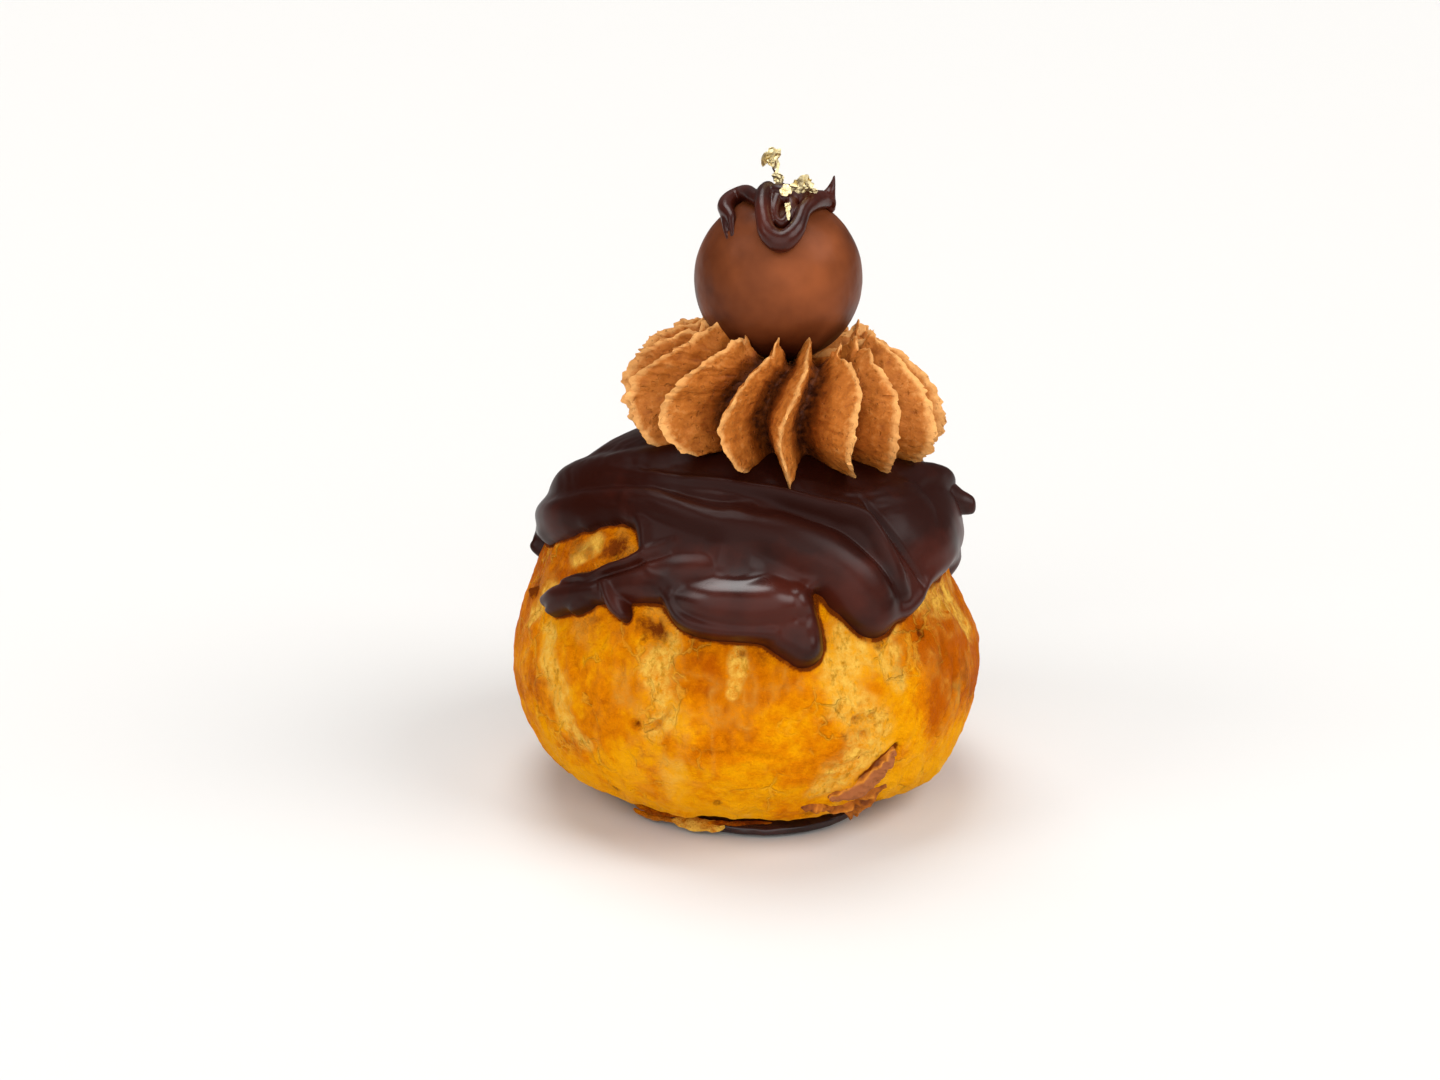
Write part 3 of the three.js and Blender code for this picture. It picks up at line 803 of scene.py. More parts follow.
@dataclass
class ChouxBun:
    """The baked bun: a round, lumpy skin with cracks, pores and a small crater."""

    round_steps: int = 440
    up_steps: int = 216
    # Heights of the crust's relief, from slow lumps to fine grain, and of its veins.
    lumps: float = 0.55
    swells: float = 0.32
    dimples: float = 0.27
    grain: float = 0.08
    wrinkles: float = 0.24
    crack_depth: float = 0.42
    crack_lip: float = 0.16
    tear_depth: float = 0.6
    stretch_depth: float = 0.3
    foot_gap: float = 1.3
    # Azimuth, height, radius, depth of burst bubbles in the crust.
    craters: tuple[Row, ...] = (
        (26.3, 20.4, 2.4, 0.8), (27, 18.9, 0.8, 0.8), (24.6, 21.6, 0.7, 0.8),
        (28.3, 21.8, 0.6, 0.6), (-76.5, 31.9, 0.9, -1), (-27, 20.6, 1, 0.8),
        (-21.6, 21, 0.8, 0.7), (48.6, 30.9, 1, 1), (-2, 31.8, 0.7, 0.5),
        (34, 31.3, 0.8, 0.6), (-112, 22, 1.6, 0.8), (128, 17, 1.8, 0.8),
        (-165, 27, 1.2, 0.7),
    )
    # Azimuth and height of the tear that the filling came out of.
    tear: tuple[Row, ...] = (
        (36.8, 15.8), (35, 14.8), (33.2, 13.9), (30.8, 12.7), (27.8, 11.5), (24.4, 10.5),
        (21, 9.7),
    )
    # Chains of azimuth and height where the crust wrinkled or tore.
    cracks: tuple[tuple[Row, ...], ...] = (
        ((-20, 20.5), (-16.7, 19.1), (-11.6, 17.9), (-2.1, 17.6), (4.8, 17), (9, 16.2)),
        ((-30, 20.8), (-26, 20.2), (-22, 20.8), (-19, 23.5), (-18.5, 26)),
        ((47, 32), (49.5, 31), (50.5, 29)),
        ((-50, 31), (-47, 27.5), (-44.5, 25.5)),
        ((-24, 34.5), (-22, 33.2), (-20.8, 31)),
        ((15, 15), (22, 14.5), (30, 16)),
        ((60, 26), (57, 21), (53, 17), (50, 14)),
        ((-66, 22), (-60, 17), (-57, 12)),
        ((88, 24), (97, 21), (110, 22)),
        ((37, 15.6), (34.6, 13.6), (31.8, 11.9), (28.6, 10.7), (25, 9.7), (21, 8.9), (17, 8.3)),
        ((12, 5.2), (17, 5), (22, 4.6)),
        ((-33, 30), (-32, 27), (-33.5, 24.5)),
        ((-38, 33), (-39, 30), (-37, 27.5)),
        ((6, 30), (7.5, 27.5), (6.5, 25)),
        ((150, 24), (160, 20), (175, 19)),
        ((-140, 25), (-128, 21), (-118, 23)),
    )
    # Chains of azimuth, height and half width where the crust stayed pale.
    pale_bands: tuple[tuple[Row, ...], ...] = (
        ((25, 33, 4.2), (24, 29.5, 4), (22.5, 26, 3.4), (26, 21.5, 4.4), (28, 18, 4.6),
         (24, 14, 4.2), (19, 10.5, 3)),
        ((34, 31.5, 2.6), (36, 29, 3), (38, 25.5, 1.8)),
        ((-59, 29, 2), (-55, 25, 2.6), (-50.4, 22.4, 2.8), (-48, 18.5, 2.4), (-42, 15.2, 1.6)),
        ((-20, 33, 2.2), (-22.5, 29.5, 2.8), (-21.5, 26, 2.4), (-19, 23, 2.2),
         (-23, 20.4, 2)),
        ((-2.5, 32, 1.4), (-2.9, 29, 1.6), (-4, 26.5, 1)),
        ((52, 35, 3.4), (62, 34.5, 4), (72, 31.5, 3), (76, 26, 2)),
        ((-52, 43, 2), (-58, 40.5, 2.2)),
        ((-66, 34, 2.4), (-72, 29, 2)),
        ((105, 30, 3), (100, 24, 3.5), (108, 16, 2.5)),
        ((155, 27, 3.4), (150, 20, 3), (158, 12, 2.6)),
        ((-160, 30, 3), (-150, 24, 3.6), (-146, 16, 2.6)),
        ((-115, 31, 3), (-105, 24, 3), (-100, 15, 2)),
    )
    # Azimuth, height, reach in millimetres and strength of over-baked spots.
    scorches: tuple[Row, ...] = (
        (-24.5, 33.8, 2.6, 0.7), (-28.5, 34.4, 1.6, 0.5), (-42, 43.4, 2.6, 0.8),
        (-47, 42.2, 2, 0.6), (-60, 41.6, 2.2, 0.5), (-54, 41.6, 1.4, 0.5),
        (-62, 40.4, 1.6, 0.45), (-66, 37.6, 2.4, 0.35), (-42.5, 40.8, 1.5, 0.5),
        (-12, 32.4, 2.4, 0.4), (2.5, 31.2, 1.6, 0.4), (19, 32.5, 2, 0.45),
        (42, 31.6, 2.2, 0.35), (56, 33.8, 1.8, 0.3), (-44, 33, 2.6, 0.35),
        (-76, 32.4, 2.2, 0.8), (-80, 30.8, 1.4, 0.6), (68, 33.6, 1.4, 0.6),
        (33.8, 31.6, 1.8, 0.6), (49, 30.6, 1, 0.8), (62, 22, 5, 0.42),
        (55, 26.5, 4, 0.36), (70, 17, 5, 0.3), (38, 27, 2.6, 0.3),
        (-58, 20, 5, 0.26), (-8.5, 8.6, 0.9, 0.6), (17, 5.6, 1.8, 0.5),
        (26, 4.6, 2, 0.5), (37, 5.4, 1.6, 0.45), (45, 6.8, 1.2, 0.4),
        (-37, 8, 0.9, 0.7), (-23.5, 15.5, 3, 0.22), (-37.5, 21, 4, 0.2),
        (-40, 43.6, 2, 0.5), (-27, 20.6, 0.8, 0.7), (140, 30, 3, 0.5),
        (-140, 27, 3, 0.4), (95, 30, 2.5, 0.5),
    )

    def build(self, glazed: Callable[[Array, Array], Array]) -> bpy.types.Material:
        """Shape the bun and paint where it is toasted, pale, scorched and porous, with painted
        light and painted shade.

        Args:
            glazed: How far the glaze stands over the skin at azimuths and places.

        Returns:
            The crust's finish.
        """
        bun, azimuth, up = blank("choux_bun_baked", self.round_steps, self.up_steps)
        azimuth = azimuth * (0.62 + 0.38 * (azimuth / 180.0) ** 2)
        # Few rings go under the foot and under the glaze, where nothing shows.
        share = np.interp(up, [0.0, 0.05, 0.93, 1.0], [0.0, 0.19, 0.8, 1.0])
        base = SKIN.place(azimuth, share)
        height = base[:, 2]
        stretched = base * np.array([1.0, 1.0, 0.55])
        lumps = self.lumps * rough(base, 13.0, 3, 3, 0.55)
        lift = lumps + self.swells * rough(stretched, 5.0, 11, 2)
        dimples = self.dimples * rough(stretched, 2.3, 13, 2, 0.6)
        lift += dimples + self.grain * rough(base, 1.1, 15, 2, 0.6)
        vein = np.clip(1.0 - np.abs(rough(stretched, 4.2, 21, 3, 0.6)) * 2.6, 0.0, 1.0)
        lift += self.wrinkles * (vein - 0.4)
        brown = np.zeros(len(base))
        self.burst(base, lift, brown)
        self.split(base, lift, brown)
        pale = self.stretch(base, lift)
        pore = np.clip(pale * 1.2, 0, 1)
        # The left side browned more, so fewer pale specks are left there.
        even = 0.4 + 0.6 * smooth_step(base[:, 0], -22.0, -4.0)
        specks = smooth_step(rough(stretched, 6.0, 51, 3, 0.6), 0.16, 0.5)
        pale = np.maximum(pale * 0.9, 0.62 * even * specks)
        veined = smooth_step(rough(base, 9.0, 53, 2), -0.3, 0.3)
        pale = np.maximum(pale, 0.28 * even * vein**3 * veined)
        self.scorch(base, brown)
        # Painted shade: the crust is darkest along the glaze's lower edge, as a cocoa stain there
        # and as the shadow under the glaze.
        rim = smooth_step(glazed(azimuth, base), -1.82, -0.6)
        patchy = np.clip(0.85 + 0.8 * rough(base, 2.6, 75, 3, 0.6), 0.0, 1.0)
        brown = np.maximum(brown, 1.1 * rim * patchy)
        # The front of the foot lifted off its torn flake.
        front = smooth_step(azimuth, -60.0, -48.0) * (1.0 - smooth_step(azimuth, 2.0, 12.0))
        lift -= self.foot_gap * front * bell(height, 2.9, 1.0) * (height < 9.0)
        ground = smooth_step(share, 0.17, 0.24)
        move_to(bun, SKIN.place(azimuth, share, ground * lift) * MM)
        # The same painted shade and stain deepen the gold along the glaze's edge.
        toast = self.toasted(azimuth, base) + 0.3 * rim
        pale = pale * (1.0 - 0.7 * np.clip(brown, 0, 1))
        paint(bun, toast=toast, pale=pale, brown=brown, pore=pore)
        outward(bun)
        crust = BakedCrust().build()
        finish_piece(bun, crust, "choux_bun", 80.0)
        return crust

    def burst(self, base: Array, lift: Array, brown: Array) -> None:
        """Sink the craters of burst bubbles, raise their rims and brown them.

        Args:
            base: Places of the skin in millimetres.
            lift: Height over the skin, changed in place.
            brown: How far each place is scorched, changed in place.
        """
        for azimuth, height, radius, depth in self.craters:
            away = self.distance(base, azimuth, height)
            bowl = np.exp(-((away / radius) ** 4))
            rim = bell(away, 1.15 * radius, 0.35 * radius)
            lift += 0.3 * depth * rim - depth * bowl * (0.7 + 0.5 * rough(base, 0.9, 31, 2))
            np.maximum(brown, 0.5 * bowl * (0.5 + 0.6 * noise(base, 1.1, 33)), out=brown)
            broken = smooth_step(rough(base, 1.7, 37, 2), -0.05, 0.35) * (radius > 1.5)
            np.maximum(brown, 0.6 * rim * broken, out=brown)

    def split(self, base: Array, lift: Array, brown: Array) -> None:
        """Cut the cracks and the tear, with raised lips and browned edges.

        Args:
            base: Places of the skin in millimetres.
            lift: Height over the skin, changed in place.
            brown: How far each place is scorched, changed in place.
        """
        for crack in self.cracks:
            chain, _ = skin_chain(crack, 10)
            away, where = nearest_on_chain(base, chain)
            ends = np.minimum(where, len(chain) - 1 - where) / (0.25 * len(chain))
            depth = np.clip(ends, 0.15, 1.0) * (0.75 + 0.35 * noise(base, 1.4, 35))
            lift -= self.crack_depth * depth * bell(away, 0.0, 0.45)
            lift += self.crack_lip * depth * bell(away, 1.0, 0.7)
            np.maximum(brown, 0.34 * depth * bell(away, 0.0, 0.4), out=brown)
        chain, _ = skin_chain(self.tear, 10)
        away, where = nearest_on_chain(base, chain)
        fade = 1.0 - smooth_step(where / len(chain), 0.45, 1.0)
        tear = fade * bell(away + 0.3 * rough(base, 1.3, 36, 2), 0.0, 0.7)
        np.maximum(brown, tear, out=brown)
        lift -= self.tear_depth * tear

    def stretch(self, base: Array, lift: Array) -> Array:
        """Thin the skin along the pale bands, where it stretched as it rose.

        Args:
            base: Places of the skin in millimetres.
            lift: Height over the skin, changed in place.

        Returns:
            How pale each place is, from 0 to 1.
        """
        pale = np.zeros(len(base))
        for band in self.pale_bands:
            chain, half = skin_chain(band, 10)
            away, where = nearest_on_chain(base, chain)
            ragged = away / at_links(half, where)[:, 0] + 0.55 * rough(base, 2.6, 41, 3, 0.6)
            pale = np.maximum(pale, 1.0 - smooth_step(ragged, 0.45, 1.15))
        lift -= self.stretch_depth * pale * (0.6 + 0.9 * rough(base, 1.4, 43, 3, 0.6))
        return pale

    def scorch(self, base: Array, brown: Array) -> None:
        """Brown the over-baked spots at places of the skin, in place."""
        for azimuth, height, reach, strength in self.scorches:
            away = self.distance(base, azimuth, height)
            ragged = away / reach + 0.5 * rough(base, 1.6, 61, 3, 0.6)
            np.maximum(brown, strength * (1.0 - smooth_step(ragged, 0.3, 1.2)), out=brown)

    @staticmethod
    def toasted(azimuth: Array, base: Array) -> Array:
        """How deep a gold the crust is, from straw to deep gold, with painted light low down.

        Args:
            azimuth: Degrees round from the front.
            base: Places of the skin in millimetres.

        Returns:
            One value for each, about 0.5 in the middle.
        """
        height = base[:, 2]
        # Random patches of bake. Painted light: the crust is paler low down, as if lit from below.
        # It is also darker up high, on the right side and at the far left.
        toast = 0.5 + 0.48 * rough(base, 8.0, 71, 4, 0.6) + 0.1 * smooth_step(height, 18, 38)
        toast -= 0.2 * (1.0 - smooth_step(height, 5, 20))
        turned = smooth_step(azimuth, 41.0, 50.0) * (1.0 - smooth_step(azimuth, 80.0, 100.0))
        toast += 0.4 * turned * smooth_step(height, 13.0, 19.0)
        return toast + 0.12 * smooth_step(-base[:, 0], 22.0, 36.0)

    @staticmethod
    def distance(base: Array, azimuth: float, height: float) -> Array:
        """How far each place of the skin is from the one at an azimuth and height."""
        upper = height > SKIN.belly
        spot = SKIN.place(azimuth, SKIN.share_at(height, upper))
        return np.linalg.norm(base - spot, axis=1)


# ------------------------------------------------------------------ the glaze


@dataclass
class Fold:
    """A rope, drip or pool of glaze: points of azimuth, height, half width and thickness."""

    points: tuple[Row, ...]
    flatness: float = 2.0
    blend: float = 0.6

    def rise(self, base: Array) -> Array:
        """How far it stands over the skin at places of the skin, negative past its edge.

        Args:
            base: Places of the skin in millimetres.

        Returns:
            The height over the skin for each.
        """
        chain, sizes = skin_chain(self.points, 8)
        reach = 1.7 * sizes[:, 0].max()
        low, high = chain.min(0) - reach, chain.max(0) + reach
        near = np.all((base > low) & (base < high), axis=1)
        height = np.full(len(base), -4.0)
        away, where = nearest_on_chain(base[near], chain)
        half, thick = at_links(sizes, where).T
        height[near] = thick * (1.0 - np.minimum(away / half, 1.7) ** self.flatness)
        return height


@dataclass
class Crease:
    """A line where two folds of glaze meet: points of azimuth and height."""

    points: tuple[Row, ...]
    depth: float
    width: float

    def cut(self, base: Array) -> Array:
        """How far it sinks the glaze at places of the skin."""
        chain, _ = skin_chain(self.points, 8)
        away, where = nearest_on_chain(base, chain)
        ends = np.minimum(where, len(chain) - 1 - where) / (0.2 * len(chain))
        return self.depth * np.clip(ends, 0.0, 1.0) * bell(away, 0.0, self.width)


@dataclass
class PouredGlaze:
    """The cap of dark glaze with its rolls, creases, pool, tongue and drips."""

    round_steps: int = 520
    up_steps: int = 168
    coat: float = 2.2
    lowest: float = 26.0
    bare: float = -0.9
    clear: float = 0.05
    # How far in its edge is rounded, how high its lip stands, its waves and its drawn lines.
    rounded: float = 1.5
    lip: float = 0.3
    waves: float = 0.22
    ripples: float = 0.03
    drawn: float = 0.3
    edge: tuple[Row, ...] = (
        (-180, 36), (-165, 34.5), (-150, 32), (-139, 35.5), (-127, 38), (-117, 36), (-108, 33),
        (-101, 34.6), (-95, 37), (-86, 38), (-80, 38.8), (-74, 40.2), (-66, 42.1), (-55, 44.6),
        (-44, 46.2), (-38, 45.8), (-35, 44.6), (-32, 42), (-28, 40), (-24, 39.4), (-20, 39),
        (-14, 38), (-5, 37.6), (5, 37.8), (14, 38.6), (17, 39.6), (19, 39.9), (21, 38.6),
        (24, 36.2), (27, 34.1), (32, 32.9), (38, 33.1), (43.7, 33.8), (49, 34.8), (53, 36),
        (59.6, 36.9), (67, 37), (75, 36.6), (86, 35.5), (94, 32.5), (100, 31), (107, 34),
        (115, 37), (125, 33.5), (135, 29), (143, 32.5), (152, 36), (166, 33), (180, 36),
    )
    folds: tuple[Fold, ...] = (
        # The main roll, from the left flap across the front into the right drip.
        Fold((
            (-106, 40, 2.6, 2.6), (-94, 41, 3.2, 3.4), (-82, 42.2, 3.4, 3.8),
            (-68, 44.9, 3.2, 3.6), (-59, 46.6, 3, 3.4), (-45, 48, 2.8, 3.3),
            (-35, 48.3, 2.9, 3.5), (-26, 48, 3, 3.7), (-13, 47.3, 3.2, 3.9),
            (-3.5, 46.8, 3.6, 4), (8, 45.8, 4, 4.1), (18, 44, 4.6, 4.2),
            (25, 41.8, 5, 4.2), (30, 39.2, 5.2, 4.1), (33, 36.2, 4.4, 3.6),
        ), flatness=2.4, blend=1.2),
        # The second roll, which lies on it and turns down on the right.
        Fold((
            (-62, 49.6, 1.5, 2.3), (-48, 50.3, 1.7, 2.7), (-28, 50.6, 1.8, 3),
            (-13, 50.6, 1.8, 3.2), (-3, 50.3, 1.8, 3.4), (9, 49.7, 1.8, 3.7),
            (21.5, 48.4, 1.9, 4.1), (29, 47.4, 2.1, 4.5), (34, 46.6, 2.3, 4.6),
            (36.6, 45.3, 2.2, 4.2), (38.6, 42.8, 2.3, 3.8), (40.6, 39.6, 2.6, 3.3),
            (41.4, 37, 2.4, 2.6),
        ), blend=0.8),
        # Slow folds above them.
        Fold((
            (-104, 43.5, 4.6, 3.1), (-90, 46, 5.6, 3.5), (-75, 48.6, 5.6, 3.5),
            (-60, 51.2, 4.6, 3.1), (-40, 53, 3.8, 2.6),
        ), blend=2.6),
        # The smooth sheet on the right.
        Fold((
            (57, 48.5, 6, 2.3), (59, 44, 6.8, 2.7), (62, 41.4, 5.6, 3), (76, 42, 6, 3.3),
            (92, 42, 6, 3.2), (108, 43.5, 5.4, 2.8),
        ), flatness=2.8, blend=2.0),
        # The shoulder that its pulled-out end grows from.
        Fold((
            (64, 50.5, 3.4, 2.8), (76, 48.6, 3.8, 3.6), (86, 46.6, 3.6, 4.6), (91, 45.2, 3, 4.8),
            (97, 43.6, 2.4, 3.4),
        ), blend=1.4),
        # The pool and its rim.
        Fold((
            (-18.5, 38.6, 2.8, 3.1), (-13, 38.3, 4, 4.1), (-7, 38, 4.6, 4.8),
            (0, 37.8, 4.8, 5.1), (6, 37.8, 4.5, 5), (10.5, 37.8, 3.4, 4.3),
        ), flatness=2.2, blend=1.9),
        Fold((
            (-22, 38.8, 1.4, 2.4), (-19.5, 37.6, 1.7, 2.9), (-16.5, 36.1, 1.9, 3.2),
            (-12.5, 35.3, 1.9, 3.5), (-6, 34.9, 1.8, 3.6), (0, 34.8, 1.8, 3.7),
            (5, 34.6, 2.1, 3.7),
        ), flatness=2.4, blend=0.8),
        # The lobe that hangs from it.
        Fold((
            (3, 35.4, 2.2, 3), (8, 34, 2.8, 3.5), (12.4, 32.4, 3, 3.8),
        ), flatness=2.3, blend=1.1),
        Fold(((5, 36.6, 2.2, 3.4), (8.6, 35.6, 2.6, 3.7), (11.6, 34.6, 2.6, 3.8)), blend=1.5),
        Fold((
            (11.5, 38.6, 2.4, 3.9), (13, 36.4, 2.3, 3.6), (13.6, 34, 2.5, 3.6),
            (13.2, 32.2, 2.8, 3.6),
        ), flatness=2.3, blend=1.4),
        # The saddle between the main roll and the pool.
        Fold((
            (-3.8, 46.6, 5, 3.3), (-4.1, 44.2, 4.2, 2.7), (-4.2, 42.4, 4.4, 2.9),
        ), blend=2.2),
        # The tongue on the left: its upper strand, its sheet, its end and its drip.
        Fold((
            (-23, 44.8, 1.7, 2.3), (-30, 43.3, 1.5, 2.6), (-35, 41.6, 1.4, 2.8),
            (-40, 40.5, 1.1, 2.7), (-45, 38.8, 1.3, 2.7), (-50, 38.1, 1.1, 2.6),
            (-55, 36.8, 1.2, 2.3),
        ), blend=0.7),
        Fold((
            (-14, 41.6, 3.6, 2.9), (-21, 40.8, 3.8, 2.9), (-28, 40.2, 3.3, 2.6),
            (-35, 39.2, 2.9, 2.3), (-42, 38, 2.6, 2.2), (-48, 37, 2.3, 2.2),
        ), flatness=3.0, blend=0.9),
        Fold((
            (-43, 37.3, 1.7, 2.4), (-48, 36.3, 2.2, 2.8), (-53, 35.3, 2.5, 3),
            (-57.5, 34.3, 2.3, 2.9), (-61.5, 33.3, 1.5, 2.3),
        ), flatness=2.4, blend=1.0),
        Fold(((-53, 34.6, 1.5, 2.4), (-56.5, 33.2, 1.3, 2.4), (-59, 32.2, 0.9, 1.9)), blend=0.9),
        Fold(((-46, 35.6, 1.3, 2.2), (-48.5, 34.5, 1.1, 2.1), (-50, 33.8, 0.8, 1.6)), blend=0.9),
        Fold((
            (-40, 38.6, 1.8, 2.5), (-37.4, 37.2, 2, 2.9), (-35, 35.9, 1.7, 2.8),
            (-33.2, 35.1, 1.1, 2.2),
        ), blend=0.5),
        # A bead that ran down from the left flap.
        Fold((
            (-93, 39.4, 1.8, 2.6), (-92, 37.2, 1.4, 2.4), (-91, 35.9, 1.3, 2.4),
        ), blend=0.5),
        # The side and the back.
        Fold((
            (76, 40, 3.4, 2.8), (90, 38, 3.6, 3.2), (98, 35.6, 3.4, 3.4), (101, 32.6, 2.8, 3),
        ), blend=0.8),
        Fold((
            (112, 47, 2.6, 2.9), (122, 43, 3, 3.3), (131, 37, 3.4, 3.5),
            (136, 31.4, 3, 3.4), (136.5, 29.6, 2.4, 2.8),
        ), blend=0.8),
        Fold((
            (100, 49.5, 2.4, 2.8), (130, 48.4, 2.6, 3.1), (155, 47.6, 2.6, 3.3),
            (180, 46, 2.8, 3.4), (197, 42.4, 3.2, 3.6), (207, 37.6, 3.6, 3.7),
            (211, 33.4, 2.8, 3.2),
        ), blend=0.6),
        Fold((
            (150, 44, 2.2, 2.6), (160, 40, 2.8, 3), (165.5, 35.6, 2.4, 3),
            (166, 33.9, 1.8, 2.4),
        ), blend=0.7),
        Fold((
            (-128, 46, 2.4, 2.8), (-118, 41, 2.8, 3.1), (-109, 37, 2.6, 3.2),
            (-107.5, 33.8, 2.1, 2.7),
        ), blend=0.7),
    )
    creases: tuple[Crease, ...] = (
        Crease(((0, 49), (10, 48.5), (20, 47.1), (27, 45.9), (31, 44.4), (35, 41.6),
                (37.5, 38.5)), 0.6, 0.6),
        Crease(((-60, 48.6), (-44, 49.5), (-28, 49.6), (-12, 49.3), (0, 49)), 0.3, 0.6),
        Crease(((39.8, 48.8), (41.4, 46.6), (43.4, 44), (46, 41), (48.4, 38.2),
                (49.4, 36)), 0.8, 0.45),
        Crease(((-36, 45), (-28, 45), (-22, 44.6), (-15, 44), (-8.5, 43.4)), 0.35, 1.7),
        Crease(((0, 43.4), (7, 42.9), (12, 41.6), (16, 40.4)), 0.2, 1.5),
        Crease(((-20, 37.6), (-14, 36.2), (-8, 35.6), (-2, 35.5), (4, 35.7), (9, 36.6)), 0.2, 0.8),
        Crease(((-22, 43.6), (-28, 42.4), (-34, 41), (-40, 39.6), (-46, 38.4)), 0.6, 0.5),
    )

    def lift(self, azimuth: Array, base: Array) -> Array:
        """How far the glaze stands over the skin.

        Args:
            azimuth: Degrees round from the front.
            base: Places of the skin in millimetres.

        Returns:
            The height over the skin, negative where the bun is bare.
        """
        lift = self.film(azimuth, base)
        for fold in self.folds:
            lift = soft_max(lift, fold.rise(base), fold.blend)
        cover = smooth_step(lift, 0.2, 1.6)
        for crease in self.creases:
            lift = lift - cover * crease.cut(base)
        uneven = self.waves * rough(base, 7.0, 81, 2) + self.ripples * rough(base, 2.2, 83, 2)
        lift += cover * uneven
        # The spatula drew thin lines along the rolls.
        along = rows(azimuth * 0.07, base[:, 2] + 0.045 * azimuth, 0 * azimuth)
        band = smooth_step(base[:, 2], 45.0, 47.5) * (1.0 - smooth_step(base[:, 2], 51.0, 52.5))
        band *= 1.0 - smooth_step(np.abs(azimuth), 70.0, 130.0)
        lift += cover * band * self.drawn * rough(along, 1.3, 85, 3, 0.6)
        return lift

    def film(self, azimuth: Array, base: Array) -> Array:
        """How far the plain coat stands over the skin, with its wavy, rounded lower edge.

        Args:
            azimuth: Degrees round from the front.
            base: Places of the skin in millimetres.

        Returns:
            The height over the skin, negative where the bun is bare.
        """
        turns, heights = np.array(self.edge, float).T
        fine = np.arange(-180.0, 180.1, 1.0)
        line = np.interp(fine, turns, heights)
        line = np.convolve(np.r_[line[-4:-1], line, line[1:4]], [0.1, 0.2, 0.4, 0.2, 0.1], "same")
        wander = noise(rows(fine * 0.55, 0 * fine, 0 * fine), 2.6, 5)
        line = line[3:-3] + 0.35 * wander * np.cos(np.radians(fine / 2))
        away, _ = nearest_on_chain(base, SKIN.place(fine, SKIN.share_at(line)))
        inside = np.where(base[:, 2] > np.interp(azimuth, fine, line), away, -away)
        t = np.clip(inside / self.rounded, -0.6, 1.0)
        coat = self.coat * np.where(t > 0, np.sqrt(np.clip(1 - (1 - t) ** 2, 0, 1)), 2.0 * t)
        coat += self.lip * bell(inside, self.rounded, 0.9)
        return np.maximum(coat, self.bare - 1.0)

    def build(self) -> None:
        """Pour the glaze, cut it to the bun and dress it."""
        glaze, azimuth, up = blank("chocolate_glaze_poured", self.round_steps, self.up_steps)
        # The steps are finer at the front, where the thin strands are.
        azimuth = azimuth * (0.56 + 0.44 * (azimuth / 180.0) ** 2)
        start = float(SKIN.share_at(self.lowest))
        crown = float(SKIN.share_at(50.0))
        share = np.interp(up, [0.0, 0.008, 0.8, 0.94, 1.0], [start, start, crown, 0.86, 1.0])
        base = SKIN.place(azimuth, share)
        lift = np.maximum(self.lift(azimuth, base), self.bare)
        shape = SKIN.place(azimuth, share, lift)
        shape[up < 1e-4] = (0.0, 0.0, self.lowest)
        move_to(glaze, shape * MM)
        self.dry(glaze, azimuth, base[:, 2])
        outward(glaze)
        # The liquid evened out its own sharp folds before it set.
        apply_modifier(glaze, "SMOOTH", factor=0.5, iterations=3)
        self.add_horn(glaze)
        self.cut_to_bun(glaze)
        finish = ChocolateFinish(
            Chocolate.POURED, "270A04", "41150A", 0.42, wave_mm=3.0, wave_height=0.03,
            specular=0.23,
        )
        finish_piece(glaze, finish.build(), "chocolate_glaze", 55.0)

    @staticmethod
    def dry(glaze: bpy.types.Object, azimuth: Array, height: Array) -> None:
        """Paint where the glaze set matt and where it stands thick and kept its gloss, with a
        painted reflection and painted shade in its colour.

        Args:
            glaze: The poured glaze.
            azimuth: Degrees round from the front of each vertex.
            height: Height of the skin under each, in millimetres.
        """
        low = 1.0 - smooth_step(height, 41.5, 46.5)
        turned = 1.0 - smooth_step(np.abs(azimuth), 150.0, 175.0)
        arch = 40.3 - 0.012 * (azimuth + 2.0) ** 2
        pool = bell(azimuth, -2.0, 13.0) * bell(height, arch, 1.4) * turned
        left_side = (1.0 - smooth_step(azimuth, -52.0, -28.0)) * turned
        # Painted reflection: a reddish glow on the front, low down by the pool.
        red = bell(azimuth, 5.0, 7.0) * bell(height, 36.8, 2.2) * turned
        paint(
            glaze,
            wet=low * (0.3 * turned + 0.7 * pool),
            shine=-0.5 + 0.4 * low + 1.6 * pool - 0.3 * left_side,
            # Painted shade darkens the upper glaze under the star; the left side is made a little
            # darker and duller.
            bloom=0.3 * red - 0.25 * (1.0 - low) - 0.1 * low * left_side,
        )

    def add_horn(self, glaze: bpy.types.Object) -> None:
        """Join the rounded end that a fold pokes out on the right."""
        horn, azimuth, up = blank("horn", 40, 56)
        path = spline(
            ((24.5, 0.4, 45.4), (28, 0.3, 45.1), (30.6, 0.1, 44.5), (32.6, 0, 43.8),
             (34.6, -0.1, 43.3)), 12
        )
        along = np.interp(up, [0.0, 0.04, 0.6, 1.0], [0.0, 0.0, 0.8, 1.0])
        at = along * (len(path) - 1)
        centre = at_links(path, at)
        radius = np.interp(along, [0, 0.35, 0.6, 0.75, 0.88], [4.4, 3.7, 2.5, 1.9, 1.55])
        tip = np.clip((along - 0.84) / 0.16, 0.0, 1.0)
        radius = radius * np.sqrt(1.0 - tip**2) * np.clip(up / 0.04, 0.0, 1.0)
        turn = np.radians(azimuth)
        centre[:, 1] += radius * np.sin(turn)
        centre[:, 2] += radius * np.cos(turn)
        move_to(horn, centre * MM)
        combine(glaze, horn, "UNION")

